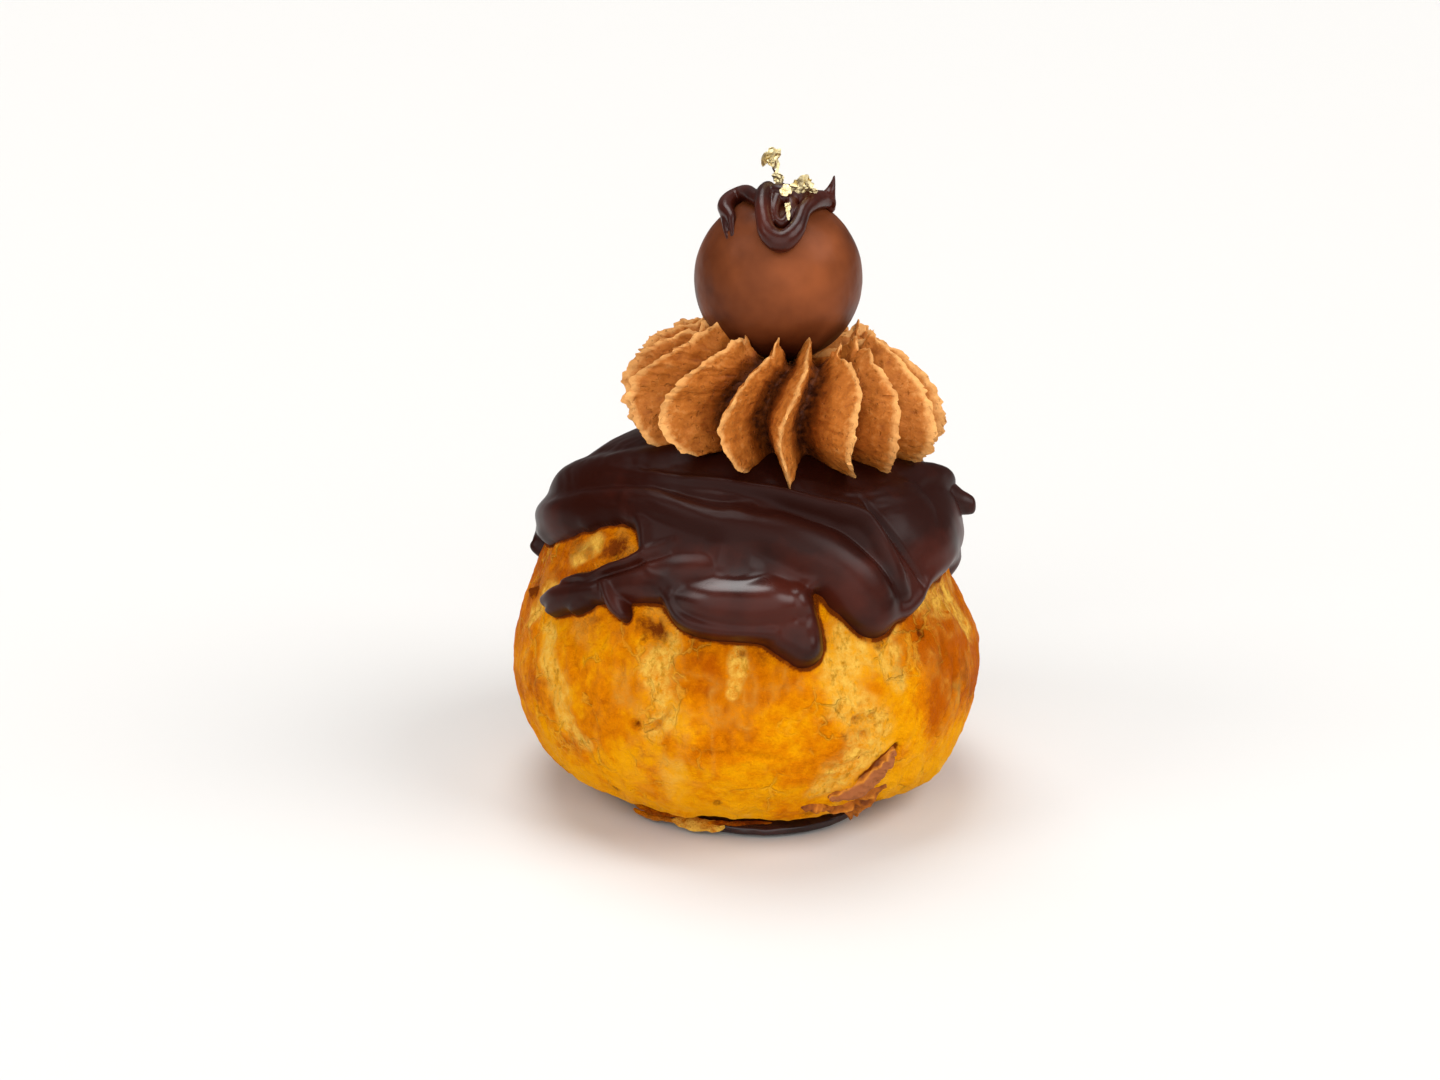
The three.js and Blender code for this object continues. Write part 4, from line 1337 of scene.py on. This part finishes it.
    def cut_to_bun(self, glaze: bpy.types.Object) -> None:
        """Take the bun's own room out of the poured glaze."""
        core, azimuth, up = blank("bun_room", 260, 130)
        share = np.interp(up, [0.0, 0.1, 1.0], [0.0, 0.4, 1.0])
        move_to(core, SKIN.place(azimuth, share, self.clear) * MM)
        combine(glaze, core, "DIFFERENCE")


# ------------------------------------------------------------------ the star of cream


@dataclass
class CreamStar:
    """The piped star: thin fins that stand round a dish, with torn tips."""

    foot: Row = (4.1, 0.0, 51.4)
    tilt: float = 7.0
    fins: Row = (
        -91, -71, -48, -25, -3, 22, 44, 66, 86, 104, 121, 140, 159, 178, 198, 218, 237, 254,
    )
    crest: tuple[Row, ...] = (
        (0, 3), (12, 2.8), (17, 2.1), (20.6, 2.2), (23, 4.6), (24.1, 8), (23.4, 11.2),
        (21.2, 14.2), (17.8, 16.8), (14.2, 18.6), (11.3, 19.6), (10.3, 18.4), (0, 13),
    )
    groove: tuple[Row, ...] = (
        (0, 3), (9, 2.9), (11.6, 3), (12.4, 4), (13, 6), (13.3, 8.6), (13, 11),
        (12.4, 13.2), (11.4, 14.6), (10.6, 15.6), (10.1, 16.2), (9.6, 16.2), (0, 13),
    )
    points_per_fin: int = 26
    up_steps: int = 190
    profile_steps: int = 30
    # Degrees that the fins' upper and lower ends lean round the star.
    top_lean: float = 12.0
    tip_lean: float = 9.0
    # How far the edges and tips are torn, and how deep the pits are as a share of the radius.
    torn_edge: float = 0.95
    torn_tip: float = 2.0
    pitted: float = 0.022

    def build(self) -> None:
        """Pipe the star and dress it."""
        count = len(self.fins)
        star, azimuth, up = blank("cream_star_piped", count * self.points_per_fin, self.up_steps)
        turn = ((azimuth + 360.0) % 360.0) / 360.0 * count
        fin = np.round(turn).astype(int) % count
        across = 2.0 * (turn - np.round(turn))
        side = np.sign(across)
        across = side * np.abs(across) ** 1.3
        share = np.interp(up, [0.0, 0.04, 0.95, 1.0], [0.0, 0.15, 0.93, 1.0])
        at = share * (len(self.crest) - 1)
        (crest_r, crest_z), (groove_r, groove_z) = (
            self.along_profile(profile, at) for profile in (self.crest, self.groove)
        )
        steady = np.random.default_rng(7)
        reach = 1.0 + 0.03 * steady.uniform(-1, 1, count)
        rise = steady.uniform(-1.1, 0.7, count)
        rise[2:4] += 0.5
        rise[4:8] += 1.1
        droop = steady.uniform(-0.4, 0.7, count)
        droop[4] = -2.3
        sharp = steady.uniform(1.45, 1.95, count)
        sway = steady.uniform(-1.5, 1.5, count)
        out = (1.0 - np.abs(across)) ** sharp[fin]
        body = smooth_step(share, 0.14, 0.26) * (1.0 - 0.6 * smooth_step(share, 0.9, 0.96))
        # The pole in the dish closes in plain rings.
        body *= 1.0 - smooth_step(share, 0.96, 0.99)
        along = rows(fin * 40.0, at * 4.2, 0 * at)
        ragged = rough(along, 3.0, 91, 4, 0.62)
        edge = np.exp(-np.abs(across) / 0.16)
        radius = groove_r + (crest_r * reach[fin] - groove_r) * out
        radius += body * edge * (self.torn_edge * ragged + 0.45 * rough(along, 0.9, 95, 2, 0.6))
        height = groove_z + (crest_z - groove_z) * out
        rim = smooth_step(share, 0.66, 0.82) * (1.0 - smooth_step(share, 0.94, 1.0))
        torn = rough(rows(fin * 40.0 + side * 9.0, at * 2.2, out * 3.0), 1.1, 99, 3)
        height += rim * out * (rise[fin] + 1.7 * ragged + self.torn_tip * torn)
        hang = (1.0 - smooth_step(share, 0.22, 0.42)) * smooth_step(share, 0.05, 0.2)
        height += hang * out * (droop[fin] + 0.6 * ragged)
        # The piping drew the faces out in streaks that run along each fin.
        deep = (crest_r - groove_r) * out
        streak = rough(rows(fin * 40.0 + side * 9.0, at * 1.1, deep * 1.7), 1.5, 103, 4, 0.6)
        here = np.array(self.fins, float)
        after = turn_between(np.roll(here, -1), here)
        before = turn_between(here, np.roll(here, 1))
        azimuth = here[fin] + np.where(across > 0, after[fin], before[fin]) * across / 2.0
        azimuth += (self.top_lean + sway[fin] * 0.6) * smooth_step(share, 0.42, 0.85)
        azimuth += self.tip_lean * (1.0 - smooth_step(share, 0.2, 0.42))
        bend = rough(along + 900.0, 7.0, 97, 2)
        azimuth += out * (sway[fin] * 0.5 + 1.6 * bend)
        azimuth += side * body * 1.5 * streak * (1.0 - np.abs(across)) ** 0.3 * (out < 0.999)
        shape = on_ring(radius, azimuth, height)
        pits = smooth_step(rough(shape, 0.9, 107, 2), 0.22, 0.6)
        left = 0.22 + 0.2 * smooth_step(-shape[:, 0], 4.0, 16.0)
        shape += (body * left)[:, None] * jolt(shape, 1.2, 111, 2, 0.6)
        shape[:, 0:2] *= (1.0 - self.pitted * pits * body)[:, None]
        self.seat(shape, share)
        move_to(star, shape * MM)
        # Painted shade darkens the grooves and the pits; a painted highlight lightens a thin line
        # along each fin's edge, over the edge's own lighter tone.
        depth = np.clip(out, 0, 1) * smooth_step(share, 0.1, 0.3)
        edge_tone_and_highlight = bell(across, 0.0, 0.06) * smooth_step(share, 0.12, 0.25)
        paint(star, crest=0.72 * smooth_step(depth, 0.0, 0.55) + 0.6 * edge_tone_and_highlight - 0.2 * pits)
        outward(star)
        finish_piece(star, WhippedCream().build(), "cream_star", 62.0)

    def along_profile(self, profile: Sequence[Row], at: Array) -> tuple[Array, Array]:
        """The radius and height of a profile at places along it, counted in its points."""
        line = spline(profile, self.profile_steps)
        links = np.arange(len(line)) / self.profile_steps
        return np.interp(at, links, line[:, 0]), np.interp(at, links, line[:, 1])

    def seat(self, shape: Array, share: Array) -> None:
        """Tilt the star, and lay its underside on the glaze instead of in it.

        Args:
            shape: The star's places in millimetres, changed in place.
            share: How far along the profile each is.
        """
        lean = math.radians(self.tilt)
        x, z = shape[:, 0].copy(), shape[:, 2].copy()
        shape[:, 0] = x * math.cos(lean) + z * math.sin(lean) + self.foot[0]
        shape[:, 2] = z * math.cos(lean) - x * math.sin(lean) + self.foot[2]
        shape[:, 1] += self.foot[1]
        radius = np.hypot(shape[:, 0], shape[:, 1])
        middle = int(np.argmax(SKIN.table[:, 0]))
        skin_r, skin_z = SKIN.table[middle:, 0][::-1], SKIN.table[middle:, 1][::-1]
        top = np.interp(radius, skin_r, skin_z) + 2.0 - 0.25 * smooth_step(radius, 14.0, 24.0)
        under = share < 0.28
        shape[under, 2] = np.maximum(shape[under, 2], top[under])


# ------------------------------------------------------------------ ball, squiggle, gold


@dataclass
class ChocolateBall:
    """The hand-rolled ball of milk chocolate in the star's dish."""

    centre: Row = (4.3, 0.0, 78.4)
    radius: float = 12.4
    dent: float = 0.16
    grain: float = 0.035
    hollow: float = 0.3

    def over(
        self, azimuth: Array | float, rise: Array | float, lift: Array | float = 0.0
    ) -> Array:
        """Places over the ball.

        Args:
            azimuth: Degrees round from the front.
            rise: Degrees up from the ball's equator.
            lift: Height over its skin.

        Returns:
            Places in millimetres, one to a row.
        """
        azimuth, rise, lift = (np.atleast_1d(value) for value in (azimuth, rise, lift))
        up = np.radians(rise)
        out = (self.radius + lift)[:, None]
        return np.array(self.centre) + out * on_ring(np.cos(up), azimuth, np.sin(up))

    def build(self) -> None:
        """Roll the ball and dress it."""
        ball, azimuth, up = blank("chocolate_ball_rolled", 200, 110)
        rise = up * 180.0 - 90.0
        base = self.over(azimuth, rise)
        lift = self.dent * rough(base, 8.0, 111, 2) + self.grain * rough(base, 2.4, 113, 2)
        # A thumb left a shallow hollow under the squiggle.
        thumb = self.over(-24.0, 16.0)
        lift -= self.hollow * bell(np.linalg.norm(base - thumb, axis=1), 0.0, 4.2)
        move_to(ball, self.over(azimuth, rise, lift) * MM)
        # Painted highlight: the ball is paler at its upper right. Painted shade: it darkens towards
        # the bottom, in the star's dish. A faint random tone lies over both.
        highlight_spot = self.over(22.0, 14.0)
        away = np.linalg.norm(base - highlight_spot, axis=1) / self.radius
        bloom = 0.4 * bell(away, 0.0, 0.8) - 0.14 - 0.3 * smooth_step(-rise, 12.0, 50.0)
        paint(ball, bloom=bloom + 0.04 * rough(base, 3.0, 117, 3))
        outward(ball)
        finish = ChocolateFinish(
            Chocolate.ROLLED, "431B08", "8C4A27", 0.4, wave_mm=2.2, wave_height=0.12, blotch_mm=9.0,
            spread=0.33, specular=0.1,
        )
        finish_piece(ball, finish.build(), "chocolate_ball", 80.0)


@dataclass
class GanacheSquiggle:
    """The piped ganache on the ball: a loop on the left, one in front and a pulled tip."""

    ball: ChocolateBall
    voxel: float = 0.16
    # Azimuth, rise, lift and radius along each strand.
    strands: tuple[tuple[Row, ...], ...] = (
        (
            (-43, 36.5, -0.1, 0.3), (-50, 44, 0.1, 0.5), (-59, 50, 0.4, 0.8), (-78, 53, 0.8, 1.2),
            (-98, 57, 0.9, 1.35), (-114, 63, 0.9, 1.3), (-85, 70, 0.9, 1.2), (-51, 69, 0.8, 1.1),
            (-30, 66, 0.8, 1.1),
        ),
        ((-47, 34, -0.15, 0.25), (-56, 41, 0, 0.4), (-66, 47, 0.2, 0.6), (-80, 51, 0.4, 0.8)),
        (
            (168, 72, 0.6, 0.8), (175, 72, 1.5, 0.3), (183, 72, 2.7, 0.22), (190, 72, 3.9, 0.18),
        ),
        (
            (-60, 84, 1, 1.25), (-36, 74, 1.1, 1.2), (-22, 60, 1.1, 1.15), (-16, 50, 1.1, 1.15),
            (-11, 40.5, 1.1, 1.35), (-6, 35.5, 1.1, 1.5), (0, 33, 1.1, 1.6), (6, 35.5, 1.1, 1.5),
            (12.5, 41, 1.1, 1.3), (18.5, 48, 1.1, 1.1), (26, 55, 1.1, 1.1), (44, 61, 1.1, 1.3),
            (66, 62.5, 1, 1.4), (82, 60, 0.9, 1.3), (88, 56, 0.6, 1), (85, 51, 0.2, 0.5),
        ),
        (
            (80, 58, 0.6, 1.6), (88, 59, 1.4, 1.25), (93, 59.5, 2.6, 0.7), (95, 60.5, 3.8, 0.34),
            (96, 61.5, 4.6, 0.16),
        ),
        ((48, 62, 1.2, 1.3), (50, 68, 1.8, 0.85), (58, 71, 2.3, 0.4), (66, 72, 2.7, 0.15)),
        ((-20, 80, 0.6, 1.6), (20, 74, 0.5, 1.9), (60, 68, 0.5, 1.8), (80, 62, 0.4, 1.4)),
        (
            (20, 84, 1, 1.2), (-4, 72, 0.7, 0.95), (-7, 61, 0.5, 0.8), (-5, 53, 0.35, 0.7),
            (1, 48, 0.3, 0.7), (7, 52, 0.35, 0.7), (14, 60, 0.6, 0.8), (30, 74, 1, 1),
        ),
    )

    def build(self) -> None:
        """Pipe the strands, let them run together and dress them."""
        parts = [self.strand(i, row) for i, row in enumerate(self.strands)]
        squiggle = joined(parts, "ganache_squiggle_piped")
        apply_modifier(squiggle, "REMESH", mode="VOXEL", voxel_size=self.voxel * MM)
        apply_modifier(squiggle, "SMOOTH", factor=0.5, iterations=5)
        outward(squiggle)
        finish = ChocolateFinish(
            Chocolate.PIPED, "2C0B05", "48190D", 0.3, wave_mm=1.6, wave_height=0.08, specular=0.28
        )
        finish_piece(squiggle, finish.build(), "ganache_squiggle", 80.0)

    def strand(self, number: int, strand: Sequence[Row]) -> bpy.types.Object:
        """One strand with rounded ends.

        Args:
            number: Tells its name from the others.
            strand: Azimuth, rise, lift and radius along it.

        Returns:
            The strand as its own closed mesh.
        """
        table = np.array(strand, float)
        middle = self.ball.over(table[:, 0], table[:, 1], table[:, 2])
        chain = spline([tuple(p) + (r,) for p, r in zip(middle, table[:, 3])], 14)
        rope, azimuth, up = blank(f"strand_{number}", 24, 3 * len(chain) // 2)
        at = up * (len(chain) - 1)
        centre, radius = np.split(at_links(chain, at), [3], axis=1)
        along = at_links(np.gradient(chain[:, :3], axis=0), at)
        along /= np.linalg.norm(along, axis=1, keepdims=True)
        out = centre - np.array(self.ball.centre)
        out -= np.sum(out * along, axis=1, keepdims=True) * along
        out /= np.linalg.norm(out, axis=1, keepdims=True)
        side = np.cross(along, out)
        cap = np.sqrt(np.clip(1.0 - (1.0 - np.minimum(up, 1.0 - up) / 0.03).clip(0) ** 2, 0, 1))
        radius = radius * cap[:, None]
        turn = np.radians(azimuth)[:, None]
        move_to(rope, (centre + radius * (out * np.cos(turn) + side * np.sin(turn))) * MM)
        outward(rope)
        return rope


@dataclass
class GoldLeaf:
    """Scraps of gold leaf that stand on the squiggle."""

    thickness: float = 0.09
    # Middle x, y, z, width, height, turn about the upright and lean of each scrap.
    scraps: tuple[Row, ...] = (
        (3.3, 0.6, 96, 3, 3.2, 20, 25), (3, 0.4, 95.2, 1.2, 1.4, -30, 10),
        (4, -0.1, 94.1, 0.45, 2.6, -20, -35), (4.3, -1.2, 93.2, 1.9, 1.5, -30, 10),
        (7.3, -4.6, 92.4, 4.4, 3.6, 8, 22), (8.6, -5, 92.3, 2, 2.2, -20, 30),
        (5, -6.2, 92.2, 1.7, 1.5, 10, -20), (5.3, -8.4, 90.2, 0.9, 1.4, 25, -10),
        (5.4, -9.2, 89.2, 0.5, 1.2, 5, -10),
    )

    def build(self) -> None:
        """Tear and crumple the scraps and dress them."""
        parts = [self.scrap(i, row) for i, row in enumerate(self.scraps)]
        leaf = joined(parts, "gold_leaf_scraps")
        apply_modifier(leaf, "SOLIDIFY", thickness=self.thickness * MM, offset=0.0)
        finish_piece(leaf, EdibleGold().build(), "gold_leaf", 35.0)

    def scrap(self, number: int, row: Row) -> bpy.types.Object:
        """One torn scrap of leaf.

        Args:
            number: Tells its name and its creases from the others.
            row: Its middle, width, height, turn and lean.

        Returns:
            The scrap as an open sheet.
        """
        x, y, z, width, height, turn, lean = row
        piece, u, v = sheet(f"scrap_{number}", 18, 18)
        seed = 120 + 7 * number
        uv = rows(u, v, 0 * u)
        tear = 1.0 + 0.45 * noise(uv, 0.7, seed)
        off = np.maximum(np.maximum(np.abs(u), np.abs(v)), 1e-6)
        tear = tear / np.maximum(np.hypot(u, v) / off, 1.0)
        crease = 0.9 * rough(uv, 0.9, seed + 1, 3, 0.55)
        lx, ly, lz = u * tear * width / 2, crease * 0.28 * min(width, height), v * tear * height / 2
        a, b = math.radians(turn), math.radians(lean)
        ly, lz = ly * math.cos(b) - lz * math.sin(b), ly * math.sin(b) + lz * math.cos(b)
        lx, ly = lx * math.cos(a) - ly * math.sin(a), lx * math.sin(a) + ly * math.cos(a)
        move_to(piece, rows(lx + x, ly + y, lz + z) * MM)
        return piece


# ------------------------------------------------------------------ filling and foot


@dataclass
class FillingSmear:
    """Filling that was squeezed out of the hole it was piped through."""

    round_steps: int = 150
    up_steps: int = 110
    # Azimuth of its left and right edges, and height of its lower and upper ones.
    span: Row = (10.0, 41.0, 2.7, 16.0)
    # Depths under the skin of its face past its folds, and of its underside.
    sunk: float = -0.8
    under: float = -0.9
    folds: tuple[Fold, ...] = (
        Fold(((36, 15, 0.4, 0.7), (34, 13, 0.9, 0.95), (31.6, 11.2, 1.3, 1.15),
              (28.4, 9.9, 1.3, 1.15), (24.8, 8.9, 1, 0.95), (21.5, 8.3, 0.5, 0.7)), blend=0.2),
        Fold(((36, 9, 0.5, 0.8), (33.5, 8.2, 1.2, 1.1), (31.4, 7.2, 1.4, 1.2),
              (31.2, 5.6, 1.1, 1.2), (31.6, 4.3, 0.7, 1.3), (32.2, 3.4, 0.35, 1.6)), blend=0.3),
        Fold(((28, 6.2, 0.9, 0.9), (23, 6.1, 0.7, 0.8), (18, 6.6, 0.5, 0.7),
              (14, 7, 0.3, 0.5)), blend=0.2),
        Fold(((28, 5.8, 0.9, 0.6), (29.4, 4.8, 0.9, 0.9), (31, 4.2, 0.5, 0.7)), blend=0.3),
    )

    def build(self) -> None:
        """Press the smear onto the bun and dress it."""
        smear, turn, up = blank("filling_smear_squeezed", self.round_steps, self.up_steps)
        # The first half of each ring is the smear's face, the second half its underside.
        front = np.abs(turn) < 90.0
        across = np.where(front, turn / 90.0, np.sign(turn) * 2.0 - turn / 90.0)
        left, right, low, high = self.span
        azimuth = (left + right) / 2 + across * (right - left) / 2
        height = low + up * (high - low)
        share = SKIN.share_at(height, upper=False)
        base = SKIN.place(azimuth, share)
        lift = np.full(len(base), self.sunk)
        for fold in self.folds:
            lift = soft_max(lift, fold.rise(base), fold.blend)
        drawn = rows(azimuth * 0.5 + height, height - azimuth * 0.2, 0 * height)
        torn = rough(drawn * np.array([0.35, 1.3, 1.0]), 1.1, 131, 3, 0.6)
        lift += smooth_step(lift, 0.0, 0.5) * 0.7 * torn + 0.75 * rough(base, 1.5, 133, 3, 0.65)
        rim = (np.abs(across) > 0.995) | (up < 0.005) | (up > 0.995)
        lift = np.where(front & ~rim, np.maximum(lift, self.sunk), self.under)
        move_to(smear, SKIN.place(azimuth, share, lift) * MM)
        strand = smooth_step(self.folds[0].rise(base), -0.3, 0.6)
        paint(smear, crest=0.15 + torn * (1.0 - strand) + (1.1 + 0.3 * torn) * strand)
        outward(smear)
        finish = WhippedCream("squeezed_chocolate_filling", "9A582C", "CE8226", "AC5F0E", "6E3406")
        finish_piece(smear, finish.build(), "filling_smear", 70.0)


@dataclass
class BaseGanache:
    """The dab of ganache that the bun is stuck down with."""

    radius: float = 22.6
    height: float = 2.0

    def build(self) -> None:
        """Spread the dab and dress it."""
        dab, azimuth, up = blank("base_ganache_spread", 220, 40)
        turn = np.radians(azimuth)
        uneven = (
            1
            + 0.05 * np.cos(turn - 0.2)
            + 0.03 * np.cos(3 * turn + 1)
            + 0.02 * np.cos(5 * turn)
            # It spreads wider at the front right, where the dark dab also stands for the shadow
            # under the bun's foot: painted shade.
            + 0.13 * bell(azimuth, 24.0, 26.0)
        )
        steps = [0, 0.3, 0.36, 0.44, 0.56, 0.64, 0.7, 1]
        out = np.interp(up, steps, [0, 0.9, 0.95, 1, 1, 0.97, 0.9, 0])
        height = np.interp(up, [0, 0.36, 0.44, 0.5, 0.56, 0.66, 1], [0, 0, 0.3, 0.55, 0.8, 1, 1])
        radius = self.radius * uneven * out
        side = bell(up, 0.5, 0.08)
        flat = rows(np.sin(turn) * 30, np.cos(turn) * 30, height * 2)
        radius += side * 0.5 * rough(flat, 3.0, 141, 2)
        move_to(dab, on_ring(radius, azimuth, height * self.height) * MM)
        outward(dab)
        finish = ChocolateFinish(
            Chocolate.SPREAD, "22100E", "331A1A", 0.25, wave_mm=2.0, wave_height=0.08
        )
        finish_piece(dab, finish.build(), "base_ganache", 60.0)


@dataclass
class CrustFlakes:
    """Thin flakes of the crust's foot that hang in front of the ganache."""

    # Start and end azimuth, radius, height, half width and paleness of each.
    flakes: tuple[Row, ...] = (
        (-47, -17, 24.4, 1.8, 0.5, 0.1), (-44, -22, 24.9, 1.1, 0.45, 0.3),
        (-27, -8, 25.2, 1.4, 1.1, 1.1), (-14, 8, 24.9, 1.9, 0.45, 0),
    )
    thickness: float = 0.4
    slant: float = 34.0
    torn: float = 0.14

    def build(self, material: bpy.types.Material) -> None:
        """Bend the flakes round the bun's foot and dress them.

        Args:
            material: The crust's own finish.
        """
        parts = [self.flake(number, row) for number, row in enumerate(self.flakes)]
        flakes = joined(parts, "crust_flakes_torn")
        finish_piece(flakes, material, None, 60.0)

    def flake(self, number: int, row: Row) -> bpy.types.Object:
        """One flake.

        Args:
            number: Tells its name and its edge from the others.
            row: Its start, end, radius, height, half width and paleness.

        Returns:
            The flake as a closed mesh.
        """
        start, end, radius, height, half, pale = row
        flake, turn, along = blank(f"flake_{number}", 16, 110)
        turn = np.radians(turn)
        azimuth = start + (end - start) * along
        line = rows(azimuth * 0.42, 9.0 * number + 0 * azimuth, 0 * azimuth)
        taper = np.sqrt(np.clip(np.minimum(along, 1.0 - along) / 0.2 - 1e-4, 0.0, 1.0))
        half = half * taper * (1.0 + 0.6 * rough(line, 3.0, 151, 3, 0.6))
        across = half * np.cos(turn)
        through = 0.5 * self.thickness * np.sqrt(taper) * np.sin(turn)
        slant = math.radians(self.slant)
        low = 0.4 * rough(line, 5.0, 157, 2)
        out = radius + across * math.cos(slant) + through * math.sin(slant)
        height = height + low - across * math.sin(slant) + through * math.cos(slant)
        shape = on_ring(out, azimuth, height)
        shape += self.torn * jolt(shape, 1.2, 161, 2)
        move_to(flake, shape * MM)
        # The layers of the torn edge run along it.
        layers = rough(rows(azimuth * 0.1, across * 1.4, 0 * azimuth), 0.9, 173, 2)
        paint(
            flake,
            toast=0.9 + 0.5 * layers,
            pale=np.clip(pale + 0.5 * layers * (pale > 0.05), 0.0, 1.2),
            brown=np.clip(0.62 - 0.7 * pale + 0.3 * layers, 0.0, 1.0),
        )
        outward(flake)
        return flake


# ------------------------------------------------------------------ the studio


@dataclass
class Studio:
    """A pale table under soft light, seen a little from above."""

    camera_at: Row = (-4.28, -330.0, 143.5)
    pitch: float = 17.76
    lens: float = 56.7
    sensor: float = 36.0
    table: float = 4000.0
    glow: float = 0.17
    lamps: tuple[tuple[str, Row, float, float], ...] = (
        ("key_softbox", (0.70, -0.24, 0.67), 40.0, 1.8),
        ("front_softbox", (-0.11, -0.96, 0.22), 90.0, 2.7),
        ("top_softbox", (-0.12, 0.30, 0.92), 36.0, 1.7),
        ("left_softbox", (-0.72, -0.28, 0.64), 24.0, 0.6),
    )

    def build(self) -> None:
        """Set the camera, the table and the lights."""
        data = bpy.data.cameras.new("camera")
        data.lens = self.lens
        data.sensor_width = self.sensor
        data.clip_start = 0.01
        camera = bpy.data.objects.new("camera", data)
        camera.location = Vector(self.camera_at) * MM
        camera.rotation_euler = (math.radians(90.0 - self.pitch), 0.0, 0.0)
        bpy.context.scene.collection.objects.link(camera)
        bpy.context.scene.camera = camera
        deselect()
        bpy.ops.mesh.primitive_plane_add(size=self.table * MM)
        floor = bpy.context.object
        floor.name = "table_top"
        floor.data.materials.append(PaleTable().build())
        for name, side, spread, power in self.lamps:
            self.light(name, side, spread, power)
        world = bpy.data.worlds.new("white_room")
        bpy.context.scene.world = world
        world.use_nodes = True
        background = world.node_tree.nodes["Background"]
        feed(background, {"Color": (1.0, 1.0, 1.0, 1.0), "Strength": self.glow})
        bpy.context.scene.view_settings.view_transform = "Standard"

    @staticmethod
    def light(name: str, side: Row, spread: float, power: float) -> None:
        """Light everything evenly from one side, as a large far softbox does.

        Args:
            name: Its name.
            side: The direction that it stands in.
            spread: How wide it looks from the bun, in degrees.
            power: Watts that fall on a square metre.
        """
        data = bpy.data.lights.new(name, "SUN")
        data.angle = math.radians(spread)
        data.energy = power
        lamp = bpy.data.objects.new(name, data)
        lamp.rotation_euler = Vector(side).to_track_quat("Z", "Y").to_euler()
        bpy.context.scene.collection.objects.link(lamp)


def main() -> None:
    """Load the frame and make every piece, logging each one's count of faces."""
    logging.basicConfig(level=logging.INFO, format="%(name)s: %(message)s")
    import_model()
    Studio().build()
    BaseGanache().build()
    glaze = PouredGlaze()
    crust = ChouxBun().build(glaze.lift)
    CrustFlakes().build(crust)
    glaze.build()
    CreamStar().build()
    ball = ChocolateBall()
    ball.build()
    GanacheSquiggle(ball).build()
    GoldLeaf().build()
    FillingSmear().build()
    deselect()


if __name__ == "__main__":
    main()
